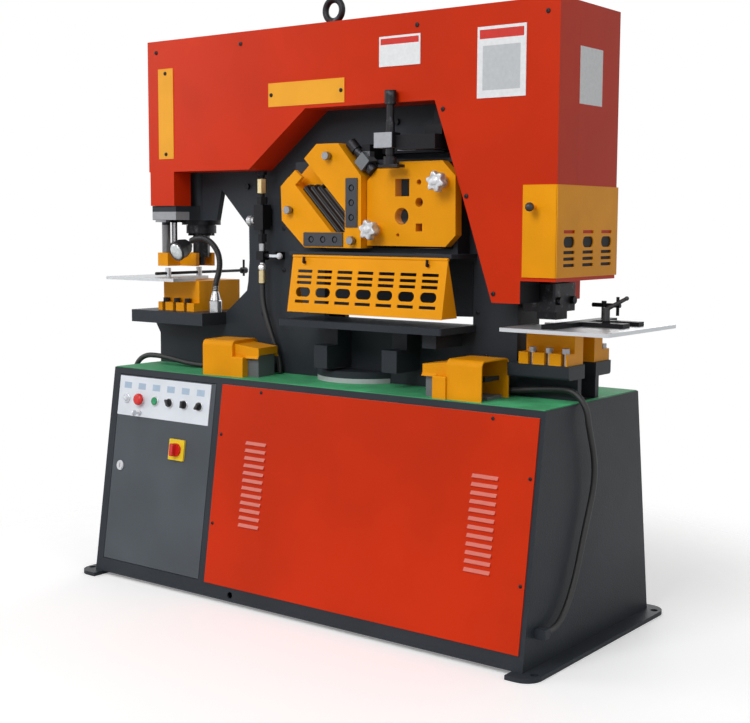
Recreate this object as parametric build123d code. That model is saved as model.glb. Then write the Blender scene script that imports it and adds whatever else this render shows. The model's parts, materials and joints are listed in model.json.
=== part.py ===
from build123d import *
import math
import os

os.makedirs("parts", exist_ok=True)

# Frame of the model: X along the machine, Y to the back, Z up, floor at z = 0,
# x = 0 at the cabinet's centre and y = 0 on the machine's middle plane.

# Fits and clearances
touch_gap = 0.3
running_fit = 0.05
door_gap = 2.0

# Cabinet
cabinet_length = 1622.0
cabinet_height = 674.0
cabinet_base_width = 724.0
cabinet_top_width = 528.0
cabinet_wall = 5.0
bed_thickness = 14.0
floor_thickness = 5.0
foot_thickness = 12.0
foot_width = 794.0
foot_reach = 49.0
foot_inset = 32.0
foot_corner = 48.0
anchor_spacing_x = 1680.0
anchor_spacing_y = 700.0
anchor_hole = 22.0
mat_thickness = 2.0
mat_margin = 4.0

# Control door, in the left bay of the front
door_left = -779.0
door_right = -347.0
door_bottom = 57.0
door_top = 652.0
door_depth = 18.0
door_sheet = 2.5
door_hinge_inset = 3.5
door_pin = 5.0
door_pin_length = 14.0

# Louvred front panel
panel_left = -318.0
panel_right = 796.0
panel_bottom = 54.0
panel_top = 655.0
panel_lap = 10.0
panel_thickness = 3.0
louvre_count = 12
louvre_length = 80.0
louvre_pitch = 22.2
louvre_top = 488.0
louvre_rise = 5.0
louvre_left = -158.0
louvre_right = 650.0

# Control plate and its switches
plate_left = -777.0
plate_right = -366.0
plate_bottom = 523.0
plate_top = 649.0
plate_thickness = 2.0
switch_row = 578.0
switch_pitch = 66.0
switch_first = -738.0
switch_hole = 25.2
bezel_size = 31.0
bezel_height = 4.0
button_travel = 4.0
key_height = 536.0
isolator_x = -488.0
isolator_z = 436.0
isolator_size = 66.0
isolator_thickness = 6.0
lock_x = -740.0
lock_z = 360.0
lock_size = 26.0

# Main frame: two plates with spacers between them
frame_plate = 20.0
frame_width = 120.0
frame_left = -810.0
frame_right = 790.0
frame_top = 1690.0
arm_bottom = 1155.0
head_left = -605.0
notch_arm_bottom = 1015.0
notch_arm_left = 600.0
frame_head_right = 735.0
foot_disc_size = 300.0
foot_disc_height = 36.0
foot_disc_x = 31.0
shear_ledge_thickness = 12.0

# Bar shear's window in the frame and the boss round it
window_left = 165.0
window_right = 425.0
window_bottom = 1078.0
window_top = 1318.0
boss_left = -150.0
boss_right = 440.0
boss_bottom = 1064.0
boss_top = 1330.0
throat_tip = 1254.0

# Station heights over the bed
left_bolster_rise = 144.0
left_bolster_thickness = 40.0
left_bolster_width = 340.0
left_bolster_left = -831.0
left_bolster_right = -502.0
right_bolster_rise = 62.0
right_bolster_thickness = 38.0
right_bolster_width = 240.0
right_bolster_left = 606.0
right_bolster_right = 795.0

# Punching station
punch_x = -670.0
die_width = 166.0
die_depth = 192.0
die_height = 72.0
die_flange_depth = 244.0
die_flange_height = 27.0
die_hole = 24.0
slug_hole = 40.0
side_table_left_end = -921.0
side_table_right_end = -600.0
side_table_front = -200.0
side_table_back = 70.0
side_table_notch = 38.0
side_table_notch_front = -100.0
table_depth = 400.0
table_thickness = 10.0
stripper_gap = 36.0
stripper_thickness = 44.0
stripper_bar = 47.0
stripper_depth = 200.0
stripper_slot = 60.0
stripper_prong = 14.0
stripper_reach = 18.0
column_x = -752.0
column_size = 28.0
column_spacing = 166.0
column_bar_width = 66.0
column_bar_height = 32.0
column_bar_drop = 7.0
lift_rod_size = 20.0
lift_rod_spacing = 104.0
guide_plate_thickness = 15.0
guide_flange_height = 46.0
barrel_size = 130.0
barrel_top = 1600.0
saddle_width = 124.0
saddle_bottom = 1330.0
ram_box_left = -735.0
ram_box_right = -626.0
ram_box_back = -92.0
punch_rod = 90.0
punch_piston = 100.0
punch_nut = 50.0
punch_stroke = 55.0
punch_size = 22.0
punch_rise = 39.0
stop_rod_size = 10.0
stop_rod_x = -733.0
stop_rod_rise = 12.0
stop_post = 20.0

# Work lamp
lamp_base_x = -525.0
lamp_base_y = -85.0
lamp_neck_size = 18.0
lamp_lens_size = 62.0

# Notching station
notch_die_left = 641.0
notch_die_width = 148.0
notch_die_flange_depth = 240.0
notch_die_flange_height = 32.0
notch_die_depth = 158.0
notch_die_height = 59.0
notch_table_left = 633.0
notch_table_right = 950.0
notch_table_depth = 416.0
notch_blade_left = 643.0
notch_blade_length = 61.0
notch_blade_width = 60.0
notch_blade_height = 22.0
notch_gap = 14.0
notch_clear = 2.0
ram_left = 612.0
ram_length = 102.0
ram_width = 120.0
ram_bolt_spacing = 76.0
ram_height = 77.0
slot_pitch = 50.0
clamp_slot = 14.0
clamp_bolt = 12.0

# Angle and bar shear plates
shear_face = -120.0
angle_plate_thickness = 55.0
bar_plate_thickness = 30.0
blade_thickness = 20.0
angle_stroke_room = 22.0
star_knob_size = 60.0
star_stud = 16.0

# Plate shear
shear_table_top = 864.0
shear_table_thickness = 19.0
shear_table_left = -115.0
shear_table_right = 466.0
shear_table_front = -240.0
shear_slot_left = -85.0
shear_slot_right = 455.0
shear_slot_top = 1040.0
shear_blade_bottom = 840.0
guard_left = -94.0
guard_right = 460.0
guard_top = 1050.0
guard_bottom = 887.0
guard_lean = 29.0
guard_sheet = 3.0
guard_columns = 7
guard_slot_length = 55.0
guard_slot_width = 9.0
guard_hinge_y = -195.0
guard_hinge_size = 9.0
guard_oval_width = 28.0

# Swing beam and shear cylinder
pivot_x = -480.0
pivot_z = 1560.0
pivot_size = 70.0
beam_thickness = 70.0
web_thickness = 30.0
cylinder_x = 560.0
cylinder_size = 140.0
cylinder_bore = 90.0
cylinder_bottom = 1495.0
cylinder_rod_size = 50.0
beam_right = 690.0
beam_end_top = 1460.0
beam_end_bottom = 1302.0
beam_drop_left = -70.0
beam_drop_right = 440.0
carrier_bottom = 1104.0
bar_blade_thickness = 30.0
bar_clearing_left = 240.0
bar_clearing_right = 346.0
bar_clearing_top = 1277.0

# Head cover
cover_depth = 334.0
cover_left = -740.0
cover_right = 776.0
cover_top = 1726.0
cover_sheet = 3.0
strip_thickness = 2.0
eyebolt_x = -99.0
eyebolt_rise = 64.0
eyebolt_ring = 64.0
eyebolt_section = 20.0

# Notch guard
notch_guard_bottom = 1008.0
notch_guard_top = 1250.0
notch_guard_left = 676.0
notch_guard_sheet = 3.5

# Foot pedals
pedal_length = 200.0
pedal_depth = 140.0
pedal_height = 110.0
pedal_wall = 4.0
pedal_hood = 112.0
pedal_neck = 42.0
right_pedal_x = 406.0
left_pedal_x = -421.0
pedal_front = -250.0
left_pedal_turn = 8.0

# Cords and the elbows that take them
cable_size = 17.0
hose_size = 16.0
hose_end_x = -250.0
hose_end_y = -80.0
gland_mouth = -275.0
gland_z = 103.0
gland_reach = 34.0
gland_body = 24.0
cable_drop_x = 831.0

# Worked-out places
half_length = cabinet_length / 2
frame_half = frame_width / 2
plate_inner = frame_half - frame_plate
bed_top = cabinet_height
mat_top = bed_top + mat_thickness
left_bolster_bottom = bed_top + left_bolster_rise
left_bolster_top = left_bolster_bottom + left_bolster_thickness
die_top = left_bolster_top + die_flange_height + die_height
side_table_top = die_top + table_thickness
stripper_bottom = side_table_top + stripper_gap
stripper_top = stripper_bottom + stripper_thickness
right_bolster_bottom = bed_top + right_bolster_rise
right_bolster_top = right_bolster_bottom + right_bolster_thickness
notch_die_top = right_bolster_top + notch_die_flange_height + notch_die_height
notch_table_top = notch_die_top + table_thickness
notch_blade_bottom = notch_table_top + notch_gap
cover_half = cover_depth / 2
slope = (cabinet_base_width - cabinet_top_width) / 2 / (cabinet_height - foot_thickness)
slope_angle = math.atan(slope)


def front_y(z):
    """Y of the sloping front face at height z."""
    return -cabinet_base_width / 2 + slope * (z - foot_thickness)


def block(x0, x1, y0, y1, z0, z1):
    """Box between two corners."""
    return Pos((x0 + x1) / 2, (y0 + y1) / 2, (z0 + z1) / 2) * Box(x1 - x0, y1 - y0, z1 - z0)


def prism_xz(points, y0, y1):
    """Outline in the XZ plane, carried from y0 to y1."""
    face = make_face(Polyline(*[(x, y0, z) for x, z in points], close=True))
    return extrude(face, amount=y1 - y0, dir=(0, 1, 0))


def prism_yz(points, x0, x1):
    """Outline in the YZ plane, carried from x0 to x1."""
    face = make_face(Polyline(*[(x0, y, z) for y, z in points], close=True))
    return extrude(face, amount=x1 - x0, dir=(1, 0, 0))


def prism_xy(points, z0, z1):
    """Outline in the XY plane, carried from z0 to z1."""
    face = make_face(Polyline(*[(x, y, z0) for x, y in points], close=True))
    return extrude(face, amount=z1 - z0, dir=(0, 0, 1))


def rod_x(y, z, size, x0, x1):
    return Pos((x0 + x1) / 2, y, z) * Rot(0, 90, 0) * Cylinder(size / 2, x1 - x0)


def rod_y(x, z, size, y0, y1):
    return Pos(x, (y0 + y1) / 2, z) * Rot(90, 0, 0) * Cylinder(size / 2, y1 - y0)


def rod_z(x, y, size, z0, z1):
    return Pos(x, y, (z0 + z1) / 2) * Cylinder(size / 2, z1 - z0)


def hex_z(x, y, across, z0, z1):
    face = Pos(x, y, z0) * RegularPolygon(across / 2, 6, major_radius=False)
    return extrude(face, amount=z1 - z0)


def hex_y(x, z, across, y0, y1):
    face = Plane((x, y0, z), x_dir=(1, 0, 0), z_dir=(0, 1, 0)) * RegularPolygon(across / 2, 6, major_radius=False)
    return extrude(face, amount=y1 - y0)


def on_front(x, z):
    """Plane on the sloping front at (x, z): local z points out, local y up the slope."""
    out = (0, -math.cos(slope_angle), math.sin(slope_angle))
    return Plane((x, front_y(z), z), x_dir=(1, 0, 0), z_dir=out)


def slope_slab(x0, x1, z0, z1, proud, depth):
    """Slab parallel to the sloping front, proud of it and reaching depth behind it, along Y."""
    points = [
        (front_y(z0) - proud, z0),
        (front_y(z1) - proud, z1),
        (front_y(z1) + depth, z1),
        (front_y(z0) + depth, z0),
    ]
    return prism_yz(points, x0, x1)


def tube(points, size, label, factor=0.45, least=5.0):
    """Round tube along straight runs and tangent arcs; prints its radii and its volume check."""
    spots = [Vector(*p) for p in points]
    runs = [(b - a).length for a, b in zip(spots, spots[1:])]
    radii = []
    for before, here, after, run_in, run_out in zip(spots, spots[1:], spots[2:], runs, runs[1:]):
        turn = math.radians((here - before).get_angle(after - here))
        radii.append(factor * min(run_in, run_out) / math.tan(turn / 2))
    path = FilletPolyline(*spots, radius=radii)
    start = Plane(spots[0], z_dir=(spots[1] - spots[0]))
    solid = sweep(start * Circle(size / 2), path=path)
    share = solid.volume / (math.pi * size * size / 4 * path.length)
    print(label, "length", round(path.length, 1), "tightest", round(min(radii), 1),
          "least wanted", round(least * size, 1), "runs", [round(r) for r in runs],
          "volume share", round(share, 4))
    return solid


def save(name, *shapes):
    """Writes one node; several shapes that don't touch stay separate solids."""
    solids = []
    for shape in shapes:
        solids.extend(shape.solids())
    node = solids[0] if len(solids) == 1 else Compound(children=solids)
    export_step(node, "parts/" + name + ".step")


def trapezoid(inset_y, z0, z1):
    """Cross-section of the cabinet between two heights, its sloping sides moved in by inset_y."""
    low = front_y(z0) + inset_y
    high = front_y(z1) + inset_y
    return [(low, z0), (high, z1), (-high, z1), (-low, z0)]


def base_foot(side):
    """Flange that stands on the floor at one end, with its anchor holes."""
    inner = side * (half_length - foot_inset)
    outer = side * (half_length + foot_reach)
    plate = block(min(inner, outer), max(inner, outer), -foot_width / 2, foot_width / 2, 0, foot_thickness)
    corners = plate.edges().filter_by(Axis.Z).sort_by(Axis.X)
    plate = fillet(corners[-2:] if side > 0 else corners[:2], foot_corner)
    for y in (-anchor_spacing_y / 2, anchor_spacing_y / 2):
        plate -= rod_z(side * anchor_spacing_x / 2, y, anchor_hole, -1, foot_thickness + 1)
    return plate


def cable_gland(side):
    """Elbow on the end wall that takes the pedal's cable."""
    wall = side * half_length
    reach = side * (half_length + gland_reach)
    gland_y = gland_mouth - 20
    half = gland_body / 2
    body = block(min(wall, reach), max(wall, reach), gland_y - half, gland_y + half, gland_z - 13, gland_z + 13)
    body = fillet(body.edges().filter_by(Axis.Y), 5)
    nut = rod_y(side * cable_drop_x, gland_z, cable_size + 9, gland_y + 11, gland_mouth)
    return body + nut


def cabinet_shell():
    outer = prism_yz(trapezoid(0, foot_thickness, cabinet_height), -half_length, half_length)
    inner = prism_yz(
        trapezoid(cabinet_wall, foot_thickness + floor_thickness, cabinet_height - bed_thickness),
        -half_length + cabinet_wall,
        half_length - cabinet_wall,
    )
    shell = outer - inner
    shell -= block(door_left - door_gap, door_right + door_gap, -cabinet_base_width, 0,
                   door_bottom - door_gap, door_top + door_gap)
    shell -= block(panel_left + panel_lap, panel_right - panel_lap, -cabinet_base_width, 0,
                   panel_bottom + panel_lap, panel_top - panel_lap)
    shell -= rod_y(-210, 31, 20, -cabinet_base_width, 0)
    for bay in (-420, 0, 420):
        for row in range(louvre_count):
            z = louvre_top - row * louvre_pitch
            shell -= block(bay - louvre_length, bay + louvre_length, 0, cabinet_base_width, z - 3, z + 3)
    for side in (-1, 1):
        shell += base_foot(side)
        shell += cable_gland(side)
    return shell + door_pins() + electric_gear()


def door_pins():
    """Two pins in the frame that the door turns on."""
    hinge = door_right - door_hinge_inset
    bottom = on_front(hinge, door_bottom - door_gap)
    top = on_front(hinge, door_top + door_gap)
    low = bottom * Pos(0, 2, -door_hinge_inset) * Rot(90, 0, 0) * Cylinder(door_pin / 2, 2 * door_pin_length)
    high = top * Pos(0, -2, -door_hinge_inset) * Rot(90, 0, 0) * Cylinder(door_pin / 2, 2 * door_pin_length)
    return low + high


def electric_gear():
    """Mounting plate on the back wall with its contactors, transformer and terminal rail."""
    wall_y = -front_y(door_top) - cabinet_wall
    plate = block(-770, -360, wall_y - 30, wall_y - 26, 110, 610)
    feet = Part() + [block(x, x + 30, wall_y - 27, wall_y + 40, z, z + 30)
                     for x in (-760, -400) for z in (130, 560)]
    feet -= prism_yz([(-front_y(60) - 2, 60), (-front_y(650) - 2, 650), (500, 650), (500, 60)], -800, -300)
    gear = Part() + [block(x, x + 45, wall_y - 110, wall_y - 29, 470, 560) for x in (-740, -680, -620, -560)]
    rail = block(-740, -400, wall_y - 70, wall_y - 29, 350, 400)
    transformer = block(-520, -410, wall_y - 130, wall_y - 29, 150, 280)
    return plate + feet + gear + rail + transformer


def top_mat():
    """Thin loose mat on the bed, cut out around the frame's feet."""
    half_x = half_length - mat_margin
    half_y = cabinet_top_width / 2 - mat_margin / 2
    mat = block(-half_x, half_x, -half_y, half_y, bed_top, mat_top)
    mat -= block(frame_left - mat_margin - 10, frame_right + 2, -frame_half - 1, frame_half + 1, bed_top - 1, mat_top + 1)
    mat -= rod_z(foot_disc_x, 0, foot_disc_size + 2, bed_top - 1, mat_top + 1)
    mat -= rod_z(hose_end_x, hose_end_y, hose_size + 12, bed_top - 1, mat_top + 1)
    return mat


def louvred_panel():
    panel = slope_slab(panel_left, panel_right, panel_bottom, panel_top, panel_thickness, 0)
    for centre in (louvre_left, louvre_right):
        for row in range(louvre_count):
            z = louvre_top - row * louvre_pitch
            place = on_front(centre, z) * Pos(0, 0, panel_thickness - 0.5)
            points = [(0, 7, 0), (0, -4, louvre_rise), (0, -6, 0)]
            wedge = extrude(make_face(Polyline(*points, close=True)), amount=louvre_length / 2,
                            dir=(1, 0, 0), both=True)
            panel += place * wedge
    return panel


def control_door():
    door = slope_slab(door_left, door_right, door_bottom, door_top, 0, door_depth)
    door -= slope_slab(door_left + door_sheet, door_right - 12, door_bottom + 16, door_top - 16,
                       -door_sheet, door_depth + 1)
    door -= on_front(door_left, door_top) * Pos(0, 10, 0) * Box(2000, 20, 100)
    hinge = door_right - door_hinge_inset
    for z, way in ((door_bottom, 1), (door_top, -1)):
        hole = Pos(0, way * 2, -door_hinge_inset) * Rot(90, 0, 0)
        door -= on_front(hinge, z) * hole * Cylinder(door_pin / 2 + running_fit, 2 * door_pin_length)
    for index in range(1, 6):
        door -= on_front(switch_x(index), switch_row) * Cylinder(switch_hole / 2, 60)
    door -= on_front(switch_x(1), key_height) * Cylinder(key_size / 2 + running_fit, 60)
    door -= on_front(isolator_x, isolator_z) * Cylinder(isolator_stem / 2 + running_fit, 60)
    door -= on_front(lock_x, lock_z) * Cylinder(lock_size / 2 + running_fit, 60)
    return door


key_size = 16.0
isolator_stem = 20.0


def switch_x(index):
    return switch_first + index * switch_pitch


def switch_plates():
    """White control plate with its bezels and lamp, and the isolator's square plate."""
    plate = slope_slab(plate_left, plate_right, plate_bottom, plate_top, plate_thickness, 0)
    bezel = extrude(Circle(bezel_size / 2), amount=bezel_height)
    for index in range(6):
        spot = on_front(switch_x(index), switch_row) * Pos(0, 0, plate_thickness / 2)
        plate += spot * bezel
        if index:
            plate -= spot * Cylinder(switch_hole / 2, 60)
    lamp = Sphere(11) & Pos(0, 0, 6) * Box(30, 30, 12)
    plate += on_front(switch_x(0), switch_row) * Pos(0, 0, plate_thickness + bezel_height - 1.5) * lamp
    plate -= on_front(switch_x(1), key_height) * Cylinder(key_size / 2 + running_fit, 60)
    square = extrude(Rectangle(isolator_size, isolator_size), amount=isolator_thickness)
    square = fillet(square.edges().filter_by(Axis.Z), 3)
    square -= Cylinder(isolator_stem / 2 + running_fit, 60)
    return plate, on_front(isolator_x, isolator_z) * square


def push_button(index, head, head_height, crown):
    """Barrel in the plate's hole with its cap; crown rounds a mushroom head."""
    face = plate_thickness + bezel_height
    if crown:
        lift = face + button_travel + 1
        stem = Pos(0, 0, -22) * extrude(Circle(switch_hole / 2 - running_fit), amount=22 + lift)
        cap = Pos(0, 0, lift) * extrude(Circle(head / 2), amount=head_height)
        cap = fillet(cap.edges().sort_by(Axis.Z)[-1], head_height * 0.7)
        return on_front(switch_x(index), switch_row) * (stem + cap)
    barrel = Pos(0, 0, -22) * extrude(Circle(switch_hole / 2 - running_fit), amount=22 + face + head_height)
    barrel = chamfer(barrel.edges().sort_by(Axis.Z)[-1], 1)
    return on_front(switch_x(index), switch_row) * barrel


def selector(index, turn):
    """Rotary switch with a raised finger bar."""
    face = plate_thickness + bezel_height
    barrel = Pos(0, 0, -22) * extrude(Circle(switch_hole / 2 - running_fit), amount=22 + face + 2)
    bar = Pos(0, 0, face + 1) * extrude(Rectangle(7, 22), amount=13)
    bar = fillet(bar.edges().filter_by(Axis.Z), 2)
    return on_front(switch_x(index), switch_row) * Rot(0, 0, turn) * (barrel + bar)


def key_switch():
    barrel = Pos(0, 0, -18) * extrude(Circle(key_size / 2), amount=18 + plate_thickness + 7)
    blade = Pos(0, -2, plate_thickness + 13) * Box(2, 8, 14)
    bow = Pos(0, -2, plate_thickness + 24) * Rot(0, 90, 0) * Cylinder(9, 3)
    return on_front(switch_x(1), key_height) * (barrel + blade + bow)


def isolator_knob():
    stem = Pos(0, 0, -20) * extrude(Circle(isolator_stem / 2), amount=20 + isolator_thickness + 1)
    disc = Pos(0, 0, isolator_thickness + touch_gap) * extrude(Circle(21), amount=8)
    bar = Pos(0, 0, isolator_thickness + 8) * extrude(Rectangle(14, 40), amount=16)
    bar = fillet(bar.edges().filter_by(Axis.Z), 5)
    return on_front(isolator_x, isolator_z) * (stem + disc + bar)


def door_lock():
    barrel = Pos(0, 0, -16) * extrude(Circle(lock_size / 2), amount=16 + 5)
    rim = Pos(0, 0, touch_gap) * extrude(Circle(lock_size / 2 + 3), amount=3)
    cam = Pos(-12, 0, -22) * Box(36, 14, 4)
    post = Pos(0, 0, -24) * extrude(Circle(5), amount=10)
    slot = Pos(0, 0, 5) * Box(3, 14, 6)
    return on_front(lock_x, lock_z) * (barrel + rim + cam + post - slot)


def power_pack():
    """Oil tank on the floor with the motor and pump on its lid."""
    floor = foot_thickness + floor_thickness
    tank_top = floor + 270
    tank = block(-230, 420, -190, 190, floor, tank_top)
    tank = fillet(tank.edges().filter_by(Axis.Z), 20)
    tank -= block(-225, 415, -185, 185, floor + 5, tank_top - 5)
    lid = block(-236, 426, -196, 196, tank_top, tank_top + 8)
    motor_z = tank_top + 8 + 118
    motor = rod_x(0, motor_z, 200, -120, 170)
    end_cap = rod_x(0, motor_z, 180, -150, -119)
    bell = rod_x(0, motor_z, 140, 169, 240)
    pump = rod_x(0, motor_z, 100, 239, 330)
    mounts = block(-100, 150, -90, 90, tank_top + 7, tank_top + 40)
    filler = rod_z(360, 120, 60, tank_top + 7, tank_top + 60)
    manifold = block(330, 400, -120, -30, tank_top + 7, tank_top + 90)
    return tank + lid + motor + end_cap + bell + pump + mounts + filler + manifold


def frame_outline(arm):
    """Side view of a main plate: punch throat at the left under the given arm, notch throat at the right."""
    return [
        (frame_left, bed_top),
        (frame_left, left_bolster_bottom - 44),
        (left_bolster_left + 2, left_bolster_bottom - 14),
        (left_bolster_left + 2, left_bolster_bottom),
        (left_bolster_right + touch_gap, left_bolster_bottom),
        (left_bolster_right + touch_gap, left_bolster_top - 1),
        (-465, left_bolster_top + 28),
        (-409, left_bolster_top + 73),
        (-403, 959),
        (-397, 1029),
        (-398, 1134),
        (-517, throat_tip),
        *arm,
        (head_left, frame_top),
        (frame_head_right, frame_top),
        (frame_head_right, notch_arm_bottom),
        (notch_arm_left, notch_arm_bottom),
        (notch_arm_left, right_bolster_bottom),
        (frame_right, right_bolster_bottom),
        (frame_right, bed_top),
    ]


def frame_windows(y0, y1):
    """Openings that both main plates share: bar shear, plate shear and cylinder."""
    bar = block(window_left, window_right, y0, y1, window_bottom, window_top)
    sheet = block(shear_slot_left, shear_slot_right, y0, y1, shear_blade_bottom, shear_slot_top)
    half = cylinder_size / 2 + 5
    barrel = block(cylinder_x - half, cylinder_x + half, y0, y1, cylinder_bottom - 10, frame_top + 1)
    return [bar, sheet, barrel]


def foot_disc(y0, y1):
    disc = rod_z(foot_disc_x, 0, foot_disc_size, bed_top, bed_top + foot_disc_height)
    disc = chamfer(disc.edges().sort_by(Axis.Z)[-1], 3)
    return disc & block(foot_disc_x - foot_disc_size, foot_disc_x + foot_disc_size, y0, y1,
                        bed_top - 1, bed_top + foot_disc_height + 1)


def frame_front():
    arm = [(-541, arm_bottom), (head_left, arm_bottom)]
    plate = prism_xz(frame_outline(arm), -frame_half, -plate_inner)
    plate += block(boss_left, boss_right, shear_face, -frame_half + 1, boss_bottom, boss_top)
    plate -= frame_windows(shear_face - 1, -plate_inner + 1)
    ledge_top = boss_bottom
    plate += block(shear_table_left, shear_table_right, guard_hinge_y + guard_hinge_size / 2 + touch_gap,
                   -frame_half + 1, ledge_top - shear_ledge_thickness, ledge_top)
    return plate + foot_disc(-foot_disc_size, -frame_half + 1)


def frame_rear():
    """Rear plate with the spacers welded to it and the beam's pivot pin pressed in."""
    plate = prism_xz(frame_outline([(head_left, throat_tip)]), plate_inner, frame_half)
    plate -= frame_windows(plate_inner - 1, frame_half + 1)
    spacers = [
        block(frame_left + 20, notch_arm_left, -plate_inner, plate_inner + 1, bed_top, bed_top + 60),
        block(-380, -200, -plate_inner, plate_inner + 1, 760, 1000),
        block(480, notch_arm_left, -plate_inner, plate_inner + 1, 760, 1000),
        block(-430, 430, -plate_inner, plate_inner + 1, frame_top - 30, frame_top),
        block(head_left, head_left + 40, -plate_inner, plate_inner + 1, 1260, frame_top),
        block(frame_head_right - 30, frame_head_right, -plate_inner, plate_inner + 1, notch_arm_bottom, frame_top),
    ]
    for spacer in spacers:
        plate += spacer
    plate += rod_y(pivot_x, pivot_z, pivot_size, -plate_inner, plate_inner + 1)
    return plate + foot_disc(frame_half - 1, foot_disc_size)


def bar_holes(y0, y1, grow):
    """Cutters for the bar shear's openings: square, rounds and small square."""
    square = block(246 - grow, 295 + grow, y0, y1, 1224 - grow, 1273 + grow)
    small_square = block(318 - grow, 340 + grow, y0, y1, 1126 - grow, 1148 + grow)
    rounds = [(328, 1263, 15), (329, 1207, 26), (269, 1168, 48), (256, 1115, 10)]
    cutters = [rod_y(x, z, size + 2 * grow, y0, y1) for x, z, size in rounds]
    return [square, small_square] + cutters


def swing_beam():
    """Beam between the plates, with the web that carries the shear blades."""
    half = beam_thickness / 2
    outline = [
        (-535, 1500), (-535, 1615), (-480, 1640), (200, 1610), (470, beam_end_top),
        (beam_right, beam_end_top), (beam_right, beam_end_bottom), (560, beam_end_bottom),
        (beam_drop_right, 1340), (beam_drop_left, 1440), (-300, 1500),
    ]
    beam = prism_xz(outline, -half, half)
    web_front = -plate_inner + 0.5
    web = prism_xz(
        [(beam_drop_left, 1450), (beam_drop_right, 1450), (beam_drop_right, 885), (beam_drop_left, 872)],
        web_front, web_front + web_thickness,
    )
    beam += web
    beam += block(window_left + 20, window_right - 25, shear_face + touch_gap, web_front + 1,
                  carrier_bottom, window_top - 13)
    beam -= rod_y(pivot_x, pivot_z, pivot_size + 2 * running_fit, -frame_half, frame_half)
    blade_back = shear_face + touch_gap + bar_blade_thickness
    beam -= bar_holes(shear_face - 1, blade_back + 1, 1.0)
    beam -= block(bar_clearing_left, bar_clearing_right, blade_back, web_front, carrier_bottom - 1, bar_clearing_top)
    beam -= block(bar_clearing_left, bar_clearing_right, web_front - 1, web_front + web_thickness + 1,
                  carrier_bottom + 2, bar_clearing_top)
    return beam


def cylinder_body():
    barrel = rod_z(cylinder_x, 0, cylinder_size, cylinder_bottom, frame_top + 1)
    half = cylinder_size / 2 + 22
    flange = block(cylinder_x - half, cylinder_x + half, -frame_half, frame_half, frame_top, frame_top + 15)
    body = barrel + flange
    body -= rod_z(cylinder_x, 0, cylinder_bore, cylinder_bottom + 15, frame_top - 12)
    body -= rod_z(cylinder_x, 0, cylinder_rod_size + 2 * running_fit, cylinder_bottom - 1, cylinder_bottom + 16)
    return body


def cylinder_rod():
    piston_bottom = frame_top - 60
    piston = rod_z(cylinder_x, 0, cylinder_bore - 2 * running_fit, piston_bottom, piston_bottom + 30)
    rod = rod_z(cylinder_x, 0, cylinder_rod_size, beam_end_top + 1.2, piston_bottom + 1)
    return piston + rod


def cover_outline():
    return [
        (cover_left, cover_top), (cover_left, 1310), (-300, 1310), (-73, 1484), (390, 1484),
        (488, 1212), (582, 937), (669, 937), (669, 998), (cover_right, 998), (cover_right, cover_top),
    ]


def inset_outline(points, amount):
    """The outline moved inwards by amount on every side."""
    wire = Polyline(*[(x, 0, z) for x, z in points], close=True)
    face = make_face(wire)
    return offset(face, amount=-amount, kind=Kind.INTERSECTION)


def cover_tray(front, back, sheet_side):
    """Folded sheet cover: one plate on the sheet's side and walls all round its outline."""
    low, high = min(front, back), max(front, back)
    outer = prism_xz(cover_outline(), low, high)
    inner_face = inset_outline(cover_outline(), cover_sheet)
    start = low + cover_sheet if sheet_side < 0 else low - 1
    stop = high + 1 if sheet_side < 0 else high - cover_sheet
    inner = Pos(0, start, 0) * extrude(inner_face, amount=stop - start, dir=(0, 1, 0))
    return outer - inner


def cover_front():
    cover = cover_tray(-cover_half, -frame_half - touch_gap, -1)
    box_bottom = arm_bottom + guide_flange_height + touch_gap
    skirt = block(ram_box_left, ram_box_right, -cover_half, ram_box_back, box_bottom, 1311)
    skirt -= block(ram_box_left + cover_sheet, ram_box_right - cover_sheet, -cover_half + cover_sheet,
                   ram_box_back + 1, box_bottom + cover_sheet, 1312)
    return cover + skirt - cover_ways()


def cover_ways():
    """Ways through the cover's lower edges for the punch cylinder and the notching head."""
    guide_half = barrel_size / 2 + 4
    guide = block(punch_x - guide_half, punch_x + guide_half, -guide_half, guide_half, 1300, 1320)
    head = block(ram_left - 4, cover_right - 20, -ram_width / 2 - 4, ram_width / 2 + 4, 930, 1004)
    return [guide, head]


def cover_rear():
    """Rear tray and the band over the top and the ends that joins it to the front one."""
    cover = cover_tray(frame_half + touch_gap, cover_half, 1)
    band_front = -frame_half - touch_gap + 0.2
    ring = prism_xz(cover_outline(), band_front, frame_half + 1)
    inner_face = inset_outline(cover_outline(), cover_sheet)
    ring -= Pos(0, band_front - 1, 0) * extrude(inner_face, amount=frame_width + 10, dir=(0, 1, 0))
    ring -= block(cover_left + cover_sheet, cover_right - cover_sheet, -cover_half, cover_half, 900,
                  cover_top - cover_sheet)
    cover += ring
    return cover - rod_z(eyebolt_x, 0, 21, cover_top - 10, cover_top + 1) - cover_ways()


def name_plates():
    """Two long strips and three bare rectangular plates on the cover."""
    face = -cover_half
    strips = [(-691, -624, 1351, 1637), (-216, 76, 1494, 1564), (201, 342, 1584, 1667), (528, 678, 1480, 1666)]
    plates = [block(x0, x1, face - strip_thickness, face, z0, z1) for x0, x1, z0, z1 in strips]
    plates.append(block(cover_right, cover_right + 1, -58, 67, 1463, 1612))
    return plates


def eyebolt():
    shank = rod_z(eyebolt_x, 0, 20, frame_top, cover_top + 1)
    collar = rod_z(eyebolt_x, 0, 40, cover_top, cover_top + 8)
    neck = rod_z(eyebolt_x, 0, 24, cover_top + 7, cover_top + eyebolt_rise - eyebolt_ring / 2)
    ring = Pos(eyebolt_x, 0, cover_top + eyebolt_rise) * Rot(90, 0, 0) * Torus(eyebolt_ring / 2, eyebolt_section / 2)
    return shank + collar + neck + ring


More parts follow.
